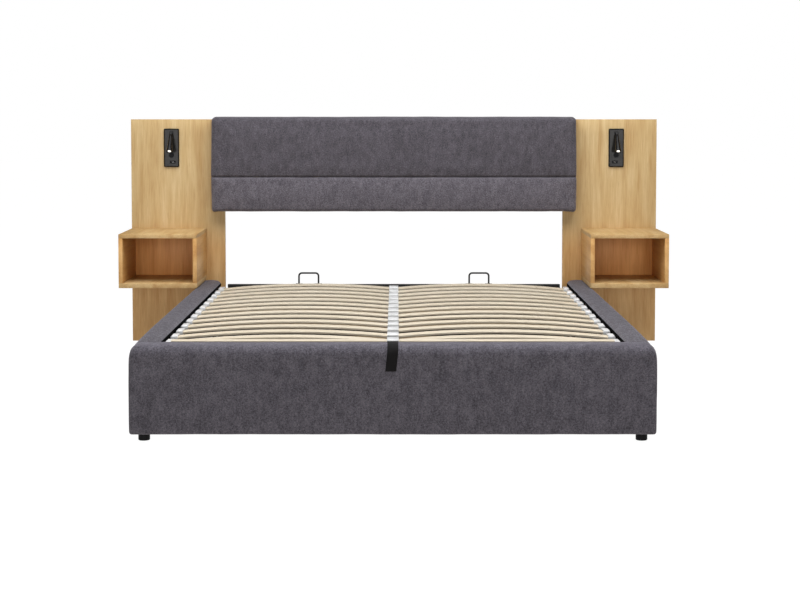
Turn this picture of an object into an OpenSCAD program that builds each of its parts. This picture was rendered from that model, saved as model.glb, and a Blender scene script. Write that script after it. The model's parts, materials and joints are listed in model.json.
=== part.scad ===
// Lift-up storage bed with an upholstered box, a bowed-slat platform, two oak
// wall panels with box nightstands and reading lights, and a padded headboard.
// Frame: X to the right, Y from the foot towards the head, Z up, millimetres.
// The origin is on the floor, at the middle of the whole outline.

/* [Bed box] */
// Width over the upholstered side rails
bed_w = 1780; // [1770:5:1790]
// Distance from the foot rail's front face to the wood panels' front face
bed_l = 2110; // [2105:5:2120]
// Thickness of an upholstered rail
rail_t = 88; // [87:0.5:89]
// Height of the rails' top above the floor
rail_top = 335; // [334:0.5:337]
// Height of the rails' underside above the floor
rail_bottom = 34.5; // [34:0.5:35.5]
// Radius of the rails' outer top edge
rail_edge_r = 36; // [26:1:38]
// Radius of the rails' inner top edge
rail_inner_r = 14; // [8:1:16]
// Diameter of a foot
foot_d = 40; // [36:1:44]

/* [Wood panels] */
// Width of a wood panel
panel_w = 432; // [428:1:436]
// Thickness of a wood panel
panel_t = 22; // [20:1:24]
// Gap between the two wood panels
panel_gap = 1562; // [1558:2:1566]
// Height of the panels' lower edge above the floor
panel_bottom = 58.5; // [55:0.5:60]
// Height of the panels' upper edge above the floor
panel_top = 1086; // [1080:1:1090]

/* [Headboard] */
// Width of the upholstered headboard
head_w = 1676; // [1670:2:1680]
// Height of the headboard's lower edge
head_bottom = 661; // [655:1:665]
// Height of the headboard's upper edge
head_top = 1098; // [1094:1:1102]
// Height of the seam between the two pads
head_seam = 822; // [815:1:830]
// Distance that the headboard stands in front of the panels
head_t = 80; // [76:1:84]
// Corner radius of the headboard in front view
head_corner_r = 20; // [14:1:24]

/* [Nightstands] */
// Width of a nightstand
stand_w = 345; // [340:1:350]
// Height of a nightstand
stand_h = 238; // [234:1:242]
// Depth of a nightstand in front of its panel
stand_d = 382; // [370:2:390]
// Height of a nightstand's underside
stand_bottom = 344; // [340:1:350]
// Thickness of the top and side boards
stand_board = 18; // [16:1:19]
// Thickness of the bottom board
stand_floor = 22; // [20:1:23]
// Thickness of the back board
stand_back = 9; // [6:1:10]

/* [Reading lights] */
// Distance of a light from the bed's middle
lamp_x = 1026; // [1020:1:1032]
// Width of the wall plate
plate_w = 70; // [68:1:74]
// Height of the wall plate
plate_h = 177; // [174:1:180]
// Height of the wall plate's lower edge
plate_bottom = 866; // [860:1:870]
// Height of the lamp's tilt pin above the floor
lamp_pivot_z = 1024; // [1020:1:1026]
// Distance of the tilt pin in front of the panel
lamp_reach = 20; // [19:0.5:22]
// Angle of the lamp head from straight down
lamp_tilt = 35; // [33:1:37]
// Length of the lamp head from the tilt pin to the lens
lamp_len = 104; // [98:1:108]

/* [Slatted platform] */
// Number of slat rows
slat_rows = 13; // [13:1:13]
// Width of a slat
slat_w = 63; // [60:1:65]
// Thickness of a slat
slat_t = 8; // [7:0.5:8]
// Rise of a slat's middle over its ends
slat_crown = 20; // [16:1:22]
// Distance from the panels' front face to the middle of the first slat
first_slat = 173; // [170:1:176]
// Distance from the foot rail's inner face to the middle of the last slat
last_slat = 110; // [106:1:114]
// Height of the side tubes' underside
frame_bottom = 282; // [282:0.5:283]
// Side of a square frame tube
tube = 30; // [30:1:30]
// Height of the two side tubes
side_tube_h = 24; // [24:1:28]
// Height of the two end tubes
end_tube_h = 45; // [43:1:46]
// Distance of a mattress retainer from the bed's middle
retainer_x = 392; // [380:2:400]
// Width of the pull strap
strap_w = 38; // [34:1:42]
// Height of the pull strap's hanging end
strap_end_z = 246; // [240:1:252]

/* [Lift linkage] */
// Rear link's wall pin, measured back from the panels' front face
rear_wall_back = 410; // [410:1:410]
// Rear link's wall pin height
rear_wall_z = 137; // [137:1:137]
// Rear link's platform pin, measured back from the panels' front face
rear_deck_back = 181; // [181:1:181]
// Rear link's platform pin height
rear_deck_z = 266; // [266:1:266]
// Front link's wall pin, measured back from the panels' front face
front_wall_back = 523; // [523:1:523]
// Front link's wall pin height
front_wall_z = 91; // [91:1:91]
// Front link's platform pin, measured back from the panels' front face
front_deck_back = 234; // [234:1:234]
// Front link's platform pin height
front_deck_z = 238; // [238:1:238]
// Gas strut's wall pin, measured back from the panels' front face
strut_wall_back = 160; // [160:1:160]
// Gas strut's wall pin height
strut_wall_z = 80; // [80:1:80]
// Distance of the gas strut's lug from the front link's wall pin
strut_lug_r = 90; // [90:1:90]
// Angle of the gas strut's lug above the front link's own line
strut_lug_angle = 20; // [20:1:20]

/* [Hidden] */
$fn = 48;
fit = 0.1;                 // clearance of a pin, bolt or rod in its hole
cut = 1;                   // how far a cutter runs past a face
bite = 1;                  // how far two joined shapes run into each other
clear = 1;                 // gap between pieces that don't touch
shadow_gap = 0.5;          // gap between pieces that lie side by side
skin_gap = 0.6;            // gap between the strap and the cloth under it
steel = "#1c1c1e";
zinc = "#9aa0a6";
oak = "#c4a470";
cloth = "#5a565e";
birch = "#e1d5be";
plastic = "#d7d7d7";

half_w = bed_w / 2;
inner_x = half_w - rail_t;
strap_t = 2.4;
back_rail_t = 15;
total_l = skin_gap + strap_t + bed_l + panel_t + back_rail_t;
foot_y = skin_gap + strap_t - total_l / 2;
foot_inner_y = foot_y + rail_t;
panel_y = foot_y + bed_l;
panel_back_y = panel_y + panel_t;
panel_x = panel_gap / 2;
panel_outer_x = panel_x + panel_w;

// Upholstered rails: a board core inside a padded cover
cover_side = 18;
cover_lining = 8;
cover_top = 30;
cover_under = 9;
low_edge_r = 8;
plan_corner_r = 12;
hidden_r = 1;
core_low = rail_bottom + cover_under;
core_high = rail_top - cover_top;

// Storage floor
ledger = 20;
ledger_low = 36;
floor_z = ledger_low + ledger;
floor_t = 6;
batten_w = 60;
batten_y = [-500, 18, 540];
end_board_t = 18;
end_board_top = 278;
leg_inset = 38;
foot_back = 60;
foot_bevel = 2;

// Corner brackets and the bolts of the bed box
bracket_leg = 50;
bracket_t = 3;
bracket_low = 90;
bracket_h = 160;
bracket_bolt_z = [120, 220];
bracket_bolt_out = 30;
bolt_r = 4;
bolt_len = 34;
bolt_head_r = 6.5;
bolt_head_h = 5;
panel_bolt_z = [110, 240];
panel_bolt_len = 98;
panel_bolt_x = half_w - rail_t / 2;

// Rests under the platform
rest_w = 16;
rest_h = 19;
rest_top = frame_bottom - shadow_gap;
rest_head_end = panel_y - 610;

// Rails behind the panels, and the headboard's own board
back_rail_h = 60;
back_rail_z = [715, 1005];
back_rail_x = panel_outer_x - 20;
head_board_t = 20;
head_wrap = 8;
pad_crown = 5;
pad_round = 20;
seam_round = 12;
pad_join_r = 2;
round_steps = 5;
flat_steps = 8;
rail_bolt_x = [500, 1000];
rail_bolt_r = 3;
rail_bolt_head_r = 7;
rail_bolt_head_h = 4;
rail_bolt_len = 46;
panel_bolt_short = 30;

// Nightstand
stand_outer_x = panel_outer_x;
stand_inner_x = stand_outer_x - stand_w;
stand_top = stand_bottom + stand_h;
stand_front_y = panel_y - stand_d;
stand_screw_x = [stand_inner_x + 50, stand_outer_x - 50];
stand_screw_r = 2.5;
stand_screw_len = 60;
stand_screw_head_r = 5;
stand_screw_head_t = 2;

// Reading light
plate_t = 6;
plate_corner_r = 5;
plate_front_y = panel_y - plate_t;
pivot_y = panel_y - lamp_reach;
box_w = 52;
box_h = 130;
box_z = plate_bottom + 24;
box_depth = 19;
gland_r = 7;
gland_len = 10;
port_x = 6;
port_proud = 1;
port_z = 889;
port_w = 26;
port_h = 13;
switch_z = 921;
switch_r = 12;
switch_proud = 2;
slot_w = 13;
slot_h = 5.4;
slot_depth = 6.4;
spindle_r = 4;
rose_r = 10;
rose_t = 3;
lug_w = 3;
lug_r = 5;
tongue_w = 8;
tongue_r = 3.5;
tilt_pin_r = 2;
head_r_top = 7;
head_r_mouth = 14;
head_wall = 1.6;
head_start = 10;
head_solid = 14;
lens_t = 3;
lens_inset = 1.5;

// Slats and their holders
first_slat_y = panel_y - first_slat;
last_slat_y = foot_inner_y + last_slat;
slat_pitch = (first_slat_y - last_slat_y) / (slat_rows - 1);
slat_y = [for (i = [0:slat_rows - 1]) last_slat_y + i * slat_pitch];
slat_low = 315;
slat_in = 6;
slat_out = 786;
slat_mid = (slat_in + slat_out) / 2;
slat_half = (slat_out - slat_in) / 2;
slat_r = (pow(slat_half, 2) + pow(slat_crown, 2)) / (2 * slat_crown);
bow_fn = 720;
slat_lean = asin((tube - side_tube_h) / (slat_out - slat_in));
end_slat_w = 44;
end_slat_in = 24;
holder_low = frame_bottom + tube;
cap_low = frame_bottom + side_tube_h;
holder_h = 19;
holder_deep = 70;
holder_corner_r = 5;
cap_in = 768;
cap_out = 794;
mid_holder_w = 41;
pocket_low = 1.6;
pocket_h = 12.4;

// Frame tubes
tube_wall = 1.5;
frame_out = 794;
frame_in = frame_out - tube;
frame_head_y = panel_y - 35;
frame_foot_y = foot_inner_y + 22;
cross_y = [-450, 20, 470];
cross_w = 25;

// Mattress retainer
hoop_half = 45;
hoop_r = 4;
hoop_bend = 14;
hoop_top = 379;
hoop_base = [30, 24, 3];
hoop_y = frame_head_y - tube / 2;

// Pull strap
strap_turn = 64;
strap_inset = 4;
front_steps = 6;
rear_steps = 3;

// Lift linkage: layers from the side rail inwards
wall_plate_t = 4;
wall_plate_in = inner_x - wall_plate_t;
link_t = 4;
rear_link_x = inner_x - 11;
front_link_x = inner_x - 19;
deck_plate_x = inner_x - 26;
strut_x = inner_x - 34;
link_w = 26;
arm_w = 24;
brace_w = 20;
brace_reach = 170;
lug_eye_r = 13;
eye_r = 14;
pin_r = 6;
pin_head_r = 9;
pin_head_t = 1.5;
rear_wall = [panel_y - rear_wall_back, rear_wall_z];
rear_deck = [panel_y - rear_deck_back, rear_deck_z];
front_wall = [panel_y - front_wall_back, front_wall_z];
front_deck = [panel_y - front_deck_back, front_deck_z];
strut_wall = [panel_y - strut_wall_back, strut_wall_z];
front_line = atan2(front_deck[1] - front_wall[1], front_deck[0] - front_wall[0]);
strut_lug = front_wall
    + strut_lug_r * [cos(front_line + strut_lug_angle), sin(front_line + strut_lug_angle)];
open_pin_r = 5;
open_clear = 6.8;
washer_r = 19;
washer_t = 2;
lift_bolt_back = [250, 350, 450];
lift_bolt_z = 82;
lift_bolt_head_t = 2;
wall_plate_low = 64;
wall_plate_high = 112;
wall_plate_margin = 25;
wall_plate_bevel = 8;
rear_pad_r = 22;
rear_pad_up = 14;
rear_pad_run = 120;
deck_plate_margin = 30;
deck_plate_heel = 13;

// Gas strut
strut_r = 10;
strut_wall_t = 1.5;
rod_r = 4;
strut_eye_r = 9;
strut_eye_t = 12;
strut_pin_r = 5;
strut_head_r = 8;
strut_head_t = 2;
strut_neck_r = 5;
strut_base_t = 4;
lug_pin_r = 4;
strut_len = norm(strut_lug - strut_wall);
strut_angle = atan2(strut_lug[1] - strut_wall[1], strut_lug[0] - strut_wall[0]);
tube_start = 16;
tube_end = strut_len - 24;
gland_t = 10;
piston_t = 8;
piston_back = 130;
rod_short = 6;

// ---- helpers -----------------------------------------------------------

// A flat outline (across, up) swept along Y from y0
module along_y(y0, len) {
    translate([0, y0 + len, 0]) rotate([90, 0, 0]) linear_extrude(len) children();
}

// A flat outline (Y, Z) swept along X from x0
module along_x(x0, len) {
    translate([x0, 0, 0]) rotate([90, 0, 90]) linear_extrude(len) children();
}

// A round bar along X, at a point (Y, Z)
module bar_x(at, r, x0, len) {
    along_x(x0, len) translate(at) circle(r);
}

// A round bar along Y
module bar_y(x, z, r, y0, len) {
    along_y(y0, len) translate([x, z]) circle(r);
}

// A block given by its lowest and highest corners
module block(low, high) {
    translate(low) cube(high - low);
}

module mirrored_pair() {
    children();
    mirror([1, 0, 0]) children();
}

module left_hand() {
    mirror([1, 0, 0]) children();
}

// What a rounded corner of radius r takes off a square one
module corner_waste(r) {
    difference() {
        translate([-cut, -cut]) square(r + cut);
        translate([r, r]) circle(r);
    }
}

// Rectangle with four radii: lower left, lower right, upper right, upper left
module rounded_rect(w, h, radii) {
    difference() {
        square([w, h]);
        corner_waste(radii[0]);
        translate([w, 0]) rotate(90) corner_waste(radii[1]);
        translate([w, h]) rotate(180) corner_waste(radii[2]);
        translate([0, h]) rotate(270) corner_waste(radii[3]);
    }
}

// Tube of height h along X or Y, open at both ends
module tube_x(low, len, h) {
    difference() {
        translate(low) cube([len, tube, h]);
        translate(low + [-cut, tube_wall, tube_wall])
            cube([len + 2 * cut, tube - 2 * tube_wall, h - 2 * tube_wall]);
    }
}

module tube_y(low, len, h) {
    difference() {
        translate(low) cube([tube, len, h]);
        translate(low + [tube_wall, -cut, tube_wall])
            cube([tube - 2 * tube_wall, len + 2 * cut, h - 2 * tube_wall]);
    }
}

// ---- bolts, which are drawn solid, or larger as the holes that they fill ---

module corner_bolt_shanks(extra) {
    for (z = bracket_bolt_z) {
        bar_x([foot_inner_y + bracket_bolt_out, z], bolt_r + extra,
            inner_x - bracket_t, bolt_len);
        bar_y(inner_x - bracket_bolt_out, z, bolt_r + extra,
            foot_inner_y + bracket_t - bolt_len, bolt_len);
    }
}

module panel_bolt_shanks(extra) {
    for (z = panel_bolt_z)
        bar_y(panel_bolt_x, z, bolt_r + extra, panel_back_y - panel_bolt_len, panel_bolt_len);
}

module lift_bolt_shanks(extra) {
    for (back = lift_bolt_back)
        bar_x([panel_y - back, lift_bolt_z], bolt_r + extra, wall_plate_in, bolt_len);
}

module cross_rail_bolt_shanks(extra) {
    for (z = back_rail_z) {
        bar_y(rail_bolt_x[0], z + back_rail_h / 2, rail_bolt_r + extra,
            panel_back_y + back_rail_t - rail_bolt_head_h - rail_bolt_len, rail_bolt_len);
        bar_y(rail_bolt_x[1], z + back_rail_h / 2, rail_bolt_r + extra,
            panel_back_y + back_rail_t - rail_bolt_head_h - panel_bolt_short,
            panel_bolt_short);
    }
}

module stand_screw_shanks(extra) {
    for (x = stand_screw_x)
        for (z = [stand_bottom + stand_floor / 2, stand_top - stand_board / 2])
            bar_y(x, z, stand_screw_r + extra, panel_back_y - stand_screw_len,
                stand_screw_len);
}

// ---- upholstered bed box -------------------------------------------------

module foot_core_block() {
    block([-half_w + cover_side, foot_y + cover_side, core_low],
        [half_w - cover_side, foot_inner_y - cover_lining, core_high]);
}

module side_core_block() {
    block([inner_x + cover_lining, foot_inner_y, core_low],
        [half_w - cover_side, panel_y, core_high]);
}

module foot_rail_core() {
    color(oak) difference() {
        foot_core_block();
        mirrored_pair() corner_bolt_shanks(fit);
    }
}

module foot_rail_cover() {
    rail_h = rail_top - rail_bottom;
    color(cloth) difference() {
        intersection() {
            along_y(foot_y, rail_t) translate([-half_w, rail_bottom])
                rounded_rect(bed_w, rail_h,
                    [low_edge_r, low_edge_r, rail_edge_r, rail_edge_r]);
            along_x(-half_w, bed_w) translate([foot_y, rail_bottom])
                rounded_rect(rail_t, rail_h,
                    [low_edge_r, hidden_r, rail_inner_r, rail_edge_r]);
            translate([-half_w, foot_y, 0]) linear_extrude(rail_top)
                rounded_rect(bed_w, rail_t,
                    [plan_corner_r, plan_corner_r, hidden_r, hidden_r]);
        }
        foot_core_block();
        mirrored_pair() corner_bolt_shanks(fit);
    }
}

module side_rail_core() {
    color(oak) difference() {
        side_core_block();
        corner_bolt_shanks(fit);
        panel_bolt_shanks(fit);
        lift_bolt_shanks(fit);
    }
}

module side_rail_cover() {
    color(cloth) difference() {
        along_y(foot_inner_y, panel_y - foot_inner_y) translate([inner_x, rail_bottom])
            rounded_rect(rail_t, rail_top - rail_bottom,
                [hidden_r, low_edge_r, rail_edge_r, rail_inner_r]);
        side_core_block();
        corner_bolt_shanks(fit);
        lift_bolt_shanks(fit);
    }
}

module head_end_board() {
    color(oak) block([-inner_x, panel_y - end_board_t, ledger_low],
        [inner_x, panel_y, end_board_top]);
}

module storage_floor() {
    y0 = foot_inner_y + clear;
    y1 = panel_y - end_board_t - clear;
    y_mid = batten_y[1];
    x1 = inner_x - clear;
    color("#2a2a2c") {
        block([-x1, y0, floor_z], [x1, y_mid - clear, floor_z + floor_t]);
        block([-x1, y_mid + clear, floor_z], [x1, y1, floor_z + floor_t]);
    }
}

module floor_battens() {
    y0 = foot_inner_y;
    y1 = panel_y - end_board_t;
    x1 = inner_x - ledger - shadow_gap;
    color(oak) {
        mirrored_pair() block([inner_x - ledger, y0, ledger_low], [inner_x, y1, floor_z]);
        block([-x1, y0, ledger_low], [x1, y0 + ledger, floor_z]);
        block([-x1, y1 - ledger, ledger_low], [x1, y1, floor_z]);
        for (y = batten_y)
            block([-x1, y - batten_w / 2, ledger_low], [x1, y + batten_w / 2, floor_z]);
    }
}

// A turned foot with a small bevel round its sole
module turned_foot(h) {
    rotate_extrude() polygon([[0, 0], [foot_d / 2 - foot_bevel, 0],
        [foot_d / 2, foot_bevel], [foot_d / 2, h], [0, h]]);
}

module corner_feet() {
    color(steel) for (y = [foot_y + foot_back, panel_y - foot_back])
        mirrored_pair() translate([half_w - leg_inset, y, 0]) turned_foot(rail_bottom);
}

module centre_legs() {
    color(steel) for (y = batten_y) translate([0, y, 0]) turned_foot(ledger_low);
}

module corner_brackets() {
    color(zinc) mirrored_pair() difference() {
        translate([inner_x, foot_inner_y, bracket_low]) linear_extrude(bracket_h)
            polygon([[0, 0], [-bracket_leg, 0], [-bracket_leg, bracket_t],
                [-bracket_t, bracket_t], [-bracket_t, bracket_leg], [0, bracket_leg]]);
        corner_bolt_shanks(fit);
    }
}

module frame_bolts() {
    color(zinc) mirrored_pair() {
        corner_bolt_shanks(0);
        for (z = bracket_bolt_z) {
            bar_x([foot_inner_y + bracket_bolt_out, z], bolt_head_r,
                inner_x - bracket_t - bolt_head_h, bolt_head_h);
            bar_y(inner_x - bracket_bolt_out, z, bolt_head_r,
                foot_inner_y + bracket_t, bolt_head_h);
        }
        panel_bolt_shanks(0);
        for (z = panel_bolt_z)
            bar_y(panel_bolt_x, z, bolt_head_r, panel_back_y, bolt_head_h);
        lift_bolt_shanks(0);
        for (back = lift_bolt_back)
            bar_x([panel_y - back, lift_bolt_z], bolt_head_r,
                wall_plate_in - lift_bolt_head_t, lift_bolt_head_t);
    }
}

module platform_rests() {
    color(oak) {
        mirrored_pair() block([inner_x - rest_w, foot_inner_y + bracket_leg + clear,
            rest_top - rest_h], [inner_x, rest_head_end, rest_top]);
        block([-inner_x + bracket_leg + clear, foot_inner_y, rest_top - rest_h],
            [inner_x - bracket_leg - clear, foot_inner_y + 2 * rest_w, rest_top]);
    }
}

// ---- wood panels, rear rails and headboard --------------------------------

module lamp_box_cut() {
    block([lamp_x - box_w / 2 - fit, panel_y - cut, box_z - fit],
        [lamp_x + box_w / 2 + fit, panel_back_y + cut, box_z + box_h + fit]);
}

module wood_panel() {
    color(oak) difference() {
        block([panel_x, panel_y, panel_bottom], [panel_outer_x, panel_back_y, panel_top]);
        lamp_box_cut();
        panel_bolt_shanks(fit);
        cross_rail_bolt_shanks(fit);
        stand_screw_shanks(fit);
    }
}

// Two rails behind the panels, packed out to the headboard between them
module rear_cross_rails() {
    color(oak) for (z = back_rail_z) difference() {
        union() {
            block([-back_rail_x, panel_back_y, z],
                [back_rail_x, panel_back_y + back_rail_t, z + back_rail_h]);
            block([-panel_x + shadow_gap, panel_y, z],
                [panel_x - shadow_gap, panel_back_y + bite, z + back_rail_h]);
        }
        mirrored_pair() cross_rail_bolt_shanks(fit);
        mirrored_pair() for (x = rail_bolt_x)
            bar_y(x, z + back_rail_h / 2, rail_bolt_head_r + fit,
                panel_back_y + back_rail_t - rail_bolt_head_h, rail_bolt_head_h + cut);
    }
}

module cross_rail_bolts() {
    color(zinc) mirrored_pair() {
        cross_rail_bolt_shanks(0);
        for (z = back_rail_z) for (x = rail_bolt_x)
            bar_y(x, z + back_rail_h / 2, rail_bolt_head_r,
                panel_back_y + back_rail_t - rail_bolt_head_h, rail_bolt_head_h);
    }
}

module head_board_block() {
    block([-head_w / 2 + head_wrap, panel_y - head_board_t, head_bottom + head_wrap],
        [head_w / 2 - head_wrap, panel_y, head_top - head_wrap]);
}

module headboard_board() {
    color(oak) difference() {
        head_board_block();
        mirrored_pair() cross_rail_bolt_shanks(fit);
    }
}

// Depth of a pad at a place u along its span: crowned, and rounded at both ends
function round_drop(u, r) = u < r ? r - sqrt(r * r - pow(r - u, 2)) : 0;
function pad_depth(u, span, r0, r1) = head_t - pad_crown * pow(2 * u / span - 1, 2)
    - round_drop(u, r0) - round_drop(span - u, r1);
function pad_stops(span, r0, r1) = concat(
    [for (i = [0:round_steps]) r0 * (1 - cos(90 * i / round_steps))],
    [for (i = [1:flat_steps - 1]) r0 + (span - r0 - r1) * i / flat_steps],
    [for (i = [round_steps:-1:0]) span - r1 * (1 - cos(90 * i / round_steps))]);
function pad_outline(span, r0, r1) = concat(
    [for (u = pad_stops(span, r0, r1)) [u, panel_y - pad_depth(u, span, r0, r1)]],
    [[span, panel_y], [0, panel_y]]);

// A pad wrapped round its part of the headboard's board
module head_pad(low, high, r_low, r_high, corner_low, corner_high) {
    difference() {
        intersection() {
            translate([-head_w / 2, 0, low]) linear_extrude(high - low)
                polygon(pad_outline(head_w, pad_round, pad_round));
            translate([-head_w / 2, 0, low]) along_x(0, head_w)
                polygon([for (p = pad_outline(high - low, r_low, r_high)) [p[1], p[0]]]);
            along_y(panel_y - head_t, head_t) translate([-head_w / 2, low])
                rounded_rect(head_w, high - low,
                    [corner_low, corner_low, corner_high, corner_high]);
        }
        head_board_block();
    }
}

module headboard_upper_pad() {
    color(cloth) head_pad(head_seam + shadow_gap / 2, head_top, seam_round, pad_round,
        pad_join_r, head_corner_r);
}

module headboard_lower_pad() {
    color(cloth) head_pad(head_bottom, head_seam - shadow_gap / 2, pad_round, seam_round,
        head_corner_r, pad_join_r);
}

// ---- nightstand ------------------------------------------------------------

module stand_top_board() {
    color(oak) difference() {
        block([stand_inner_x, stand_front_y, stand_top - stand_board],
            [stand_outer_x, panel_y, stand_top]);
        stand_screw_shanks(fit);
    }
}

module stand_bottom_board() {
    color(oak) difference() {
        block([stand_inner_x, stand_front_y, stand_bottom],
            [stand_outer_x, panel_y, stand_bottom + stand_floor]);
        stand_screw_shanks(fit);
    }
}

module stand_side_board(x0) {
    color(oak) block([x0, stand_front_y, stand_bottom + stand_floor],
        [x0 + stand_board, panel_y, stand_top - stand_board]);
}

module stand_outer_board() {
    stand_side_board(stand_outer_x - stand_board);
}

module stand_inner_board() {
    stand_side_board(stand_inner_x);
}

module stand_back_board() {
    color(oak) block([stand_inner_x + stand_board, panel_y - stand_back,
        stand_bottom + stand_floor],
        [stand_outer_x - stand_board, panel_y, stand_top - stand_board]);
}

module nightstand_screws() {
    color(zinc) mirrored_pair() {
        stand_screw_shanks(0);
        for (x = stand_screw_x)
            for (z = [stand_bottom + stand_floor / 2, stand_top - stand_board / 2])
                bar_y(x, z, stand_screw_head_r, panel_back_y, stand_screw_head_t);
    }
}

// ---- reading light -----------------------------------------------------------

module port_block(extra) {
    block([lamp_x - port_x - port_w / 2 - extra, plate_front_y - port_proud - extra,
        port_z - port_h / 2 - extra],
        [lamp_x - port_x + port_w / 2 + extra, panel_y + extra, port_z + port_h / 2 + extra]);
}

// Round push switch, or its hole when extra is above zero
module switch_button(extra) {
    bar_y(lamp_x, switch_z, switch_r + extra, plate_front_y - switch_proud - extra,
        plate_t + switch_proud + clear + extra);
}

module lamp_wall_plate() {
    color("#3a3a3c") difference() {
        along_y(plate_front_y, plate_t) translate([lamp_x - plate_w / 2, plate_bottom])
            rounded_rect(plate_w, plate_h, [for (i = [0:3]) plate_corner_r]);
        port_block(fit);
        switch_button(fit);
        bar_y(lamp_x, lamp_pivot_z, spindle_r + fit, plate_front_y - cut,
            plate_t + 2 * cut);
    }
}

module charging_port() {
    difference() {
        port_block(0);
        block([lamp_x - port_x - slot_w / 2, plate_front_y - port_proud - cut,
            port_z - slot_h / 2],
            [lamp_x - port_x + slot_w / 2, plate_front_y - port_proud + slot_depth,
                port_z + slot_h / 2]);
    }
}

module charging_ports() {
    color("#18181a") mirrored_pair() {
        charging_port();
        switch_button(0);
    }
}

// Box of electrics in the panel's cut-out, with the gland of its supply lead
module lamp_driver_boxes() {
    color("#222224") mirrored_pair() {
        block([lamp_x - box_w / 2, panel_y + clear, box_z],
            [lamp_x + box_w / 2, panel_y + clear + box_depth, box_z + box_h]);
        bar_y(lamp_x, box_z + box_h / 3, gland_r, panel_y + box_depth, gland_len);
    }
}

// Swivel rose, spindle and the two lugs that hold the tilt pin
module lamp_knuckle() {
    rose_front_y = plate_front_y - shadow_gap - rose_t;
    lug_in = tongue_w / 2 + fit;
    color(steel) {
        bar_y(lamp_x, lamp_pivot_z, rose_r, rose_front_y, rose_t);
        bar_y(lamp_x, lamp_pivot_z, spindle_r, rose_front_y, plate_t + rose_t);
        for (x0 = [lamp_x - lug_in - lug_w, lamp_x + lug_in]) {
            bar_x([pivot_y, lamp_pivot_z], lug_r, x0, lug_w);
            block([x0, pivot_y, lamp_pivot_z - lug_r],
                [x0 + lug_w, rose_front_y + bite, lamp_pivot_z + lug_r]);
        }
        bar_x([pivot_y, lamp_pivot_z], tilt_pin_r, lamp_x - lug_in - bite,
            2 * (lug_in + bite));
    }
}

// Cone outline of the lamp head, turned about its own length
module head_cone(from, to, grow) {
    slope = (head_r_mouth - head_r_top) / (lamp_len - head_start);
    r0 = head_r_top + slope * (from - head_start) + grow;
    r1 = head_r_top + slope * (to - head_start) + grow;
    translate([0, 0, from]) cylinder(h = to - from, r1 = r0, r2 = r1);
}

// Puts a shape that is built along +Z from the tilt pin in its place
module at_lamp_pivot() {
    translate([lamp_x, pivot_y, lamp_pivot_z]) rotate([180 - lamp_tilt, 0, 0]) children();
}

module lamp_head() {
    color(steel) at_lamp_pivot() difference() {
        union() {
            head_cone(head_start, lamp_len, 0);
            translate([-tongue_w / 2, -tongue_r, 0])
                cube([tongue_w, 2 * tongue_r, head_start + bite]);
            translate([-tongue_w / 2, 0, 0]) rotate([0, 90, 0])
                cylinder(h = tongue_w, r = tongue_r);
        }
        head_cone(head_start + head_solid, lamp_len + cut, -head_wall);
        translate([-tongue_w, 0, 0]) rotate([0, 90, 0])
            cylinder(h = 2 * tongue_w, r = tilt_pin_r + fit);
    }
}

module lamp_lens() {
    color("#fbf6e6") at_lamp_pivot()
        head_cone(lamp_len - lens_inset - lens_t, lamp_len - lens_inset, -head_wall);
}

// ---- slatted platform -----------------------------------------------------

module platform_side_tubes() {
    color(steel) mirrored_pair()
        tube_y([frame_in, frame_foot_y, frame_bottom], frame_head_y - frame_foot_y,
            side_tube_h);
}

module platform_end_tubes() {
    color(steel) for (y = [frame_foot_y, frame_head_y - tube])
        tube_x([-frame_in, y, frame_bottom], 2 * frame_in, end_tube_h);
}

module platform_spine() {
    color(steel) tube_y([-tube / 2, frame_foot_y + tube, frame_bottom],
        frame_head_y - frame_foot_y - 2 * tube, tube);
}

module platform_cross_tubes() {
    high = frame_bottom + side_tube_h;
    color(steel) for (y = cross_y) mirrored_pair()
        difference() {
            block([tube / 2, y, frame_bottom], [frame_in, y + cross_w, high]);
            block([0, y + tube_wall, frame_bottom + tube_wall],
                [frame_in + cut, y + cross_w - tube_wall, high - tube_wall]);
        }
}

// Bow of a slat in front view
module slat_bow() {
    centre_z = slat_low + slat_crown - slat_r;
    intersection() {
        translate([slat_in, slat_low]) square([2 * slat_half, slat_crown + slat_t + cut]);
        translate([slat_mid, centre_z]) difference() {
            circle(slat_r + slat_t, $fn = bow_fn);
            circle(slat_r, $fn = bow_fn);
        }
    }
}

// A flat slat that lies on the foot end's tube
module end_slat() {
    middle_y = frame_foot_y + tube / 2;
    low = frame_bottom + end_tube_h;
    block([end_slat_in, middle_y - end_slat_w / 2, low],
        [frame_in, middle_y + end_slat_w / 2, low + slat_t]);
}

// The bowed slats lean outwards, because the side tubes lie lower than the spine
module slats() {
    color(birch) {
        for (y = slat_y) along_y(y - slat_w / 2, slat_w)
            translate([slat_in, slat_low]) rotate(-slat_lean)
                translate([-slat_in, -slat_low]) slat_bow();
        end_slat();
    }
}

// Plastic holder with a pocket that takes a slat's end
module slat_holder(x0, x1, y, low, pocket_x0, pocket_x1) {
    difference() {
        translate([x0, y - holder_deep / 2, low]) linear_extrude(holder_h)
            rounded_rect(x1 - x0, holder_deep, [for (i = [0:3]) holder_corner_r]);
        block([pocket_x0, y - slat_w / 2 - shadow_gap, low + pocket_low],
            [pocket_x1, y + slat_w / 2 + shadow_gap, low + pocket_low + pocket_h]);
    }
}

module slat_caps() {
    color(plastic) mirrored_pair() for (y = slat_y)
        slat_holder(cap_in, cap_out, y, cap_low, cap_in - cut, slat_out + clear);
}

module slat_centre_holders() {
    half = mid_holder_w / 2;
    color(plastic) for (y = slat_y) difference() {
        slat_holder(-half, half, y, holder_low, slat_in - clear, half + cut);
        block([-half - cut, y - slat_w / 2 - shadow_gap, holder_low + pocket_low],
            [-slat_in + clear, y + slat_w / 2 + shadow_gap,
                holder_low + pocket_low + pocket_h]);
    }
}

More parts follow.
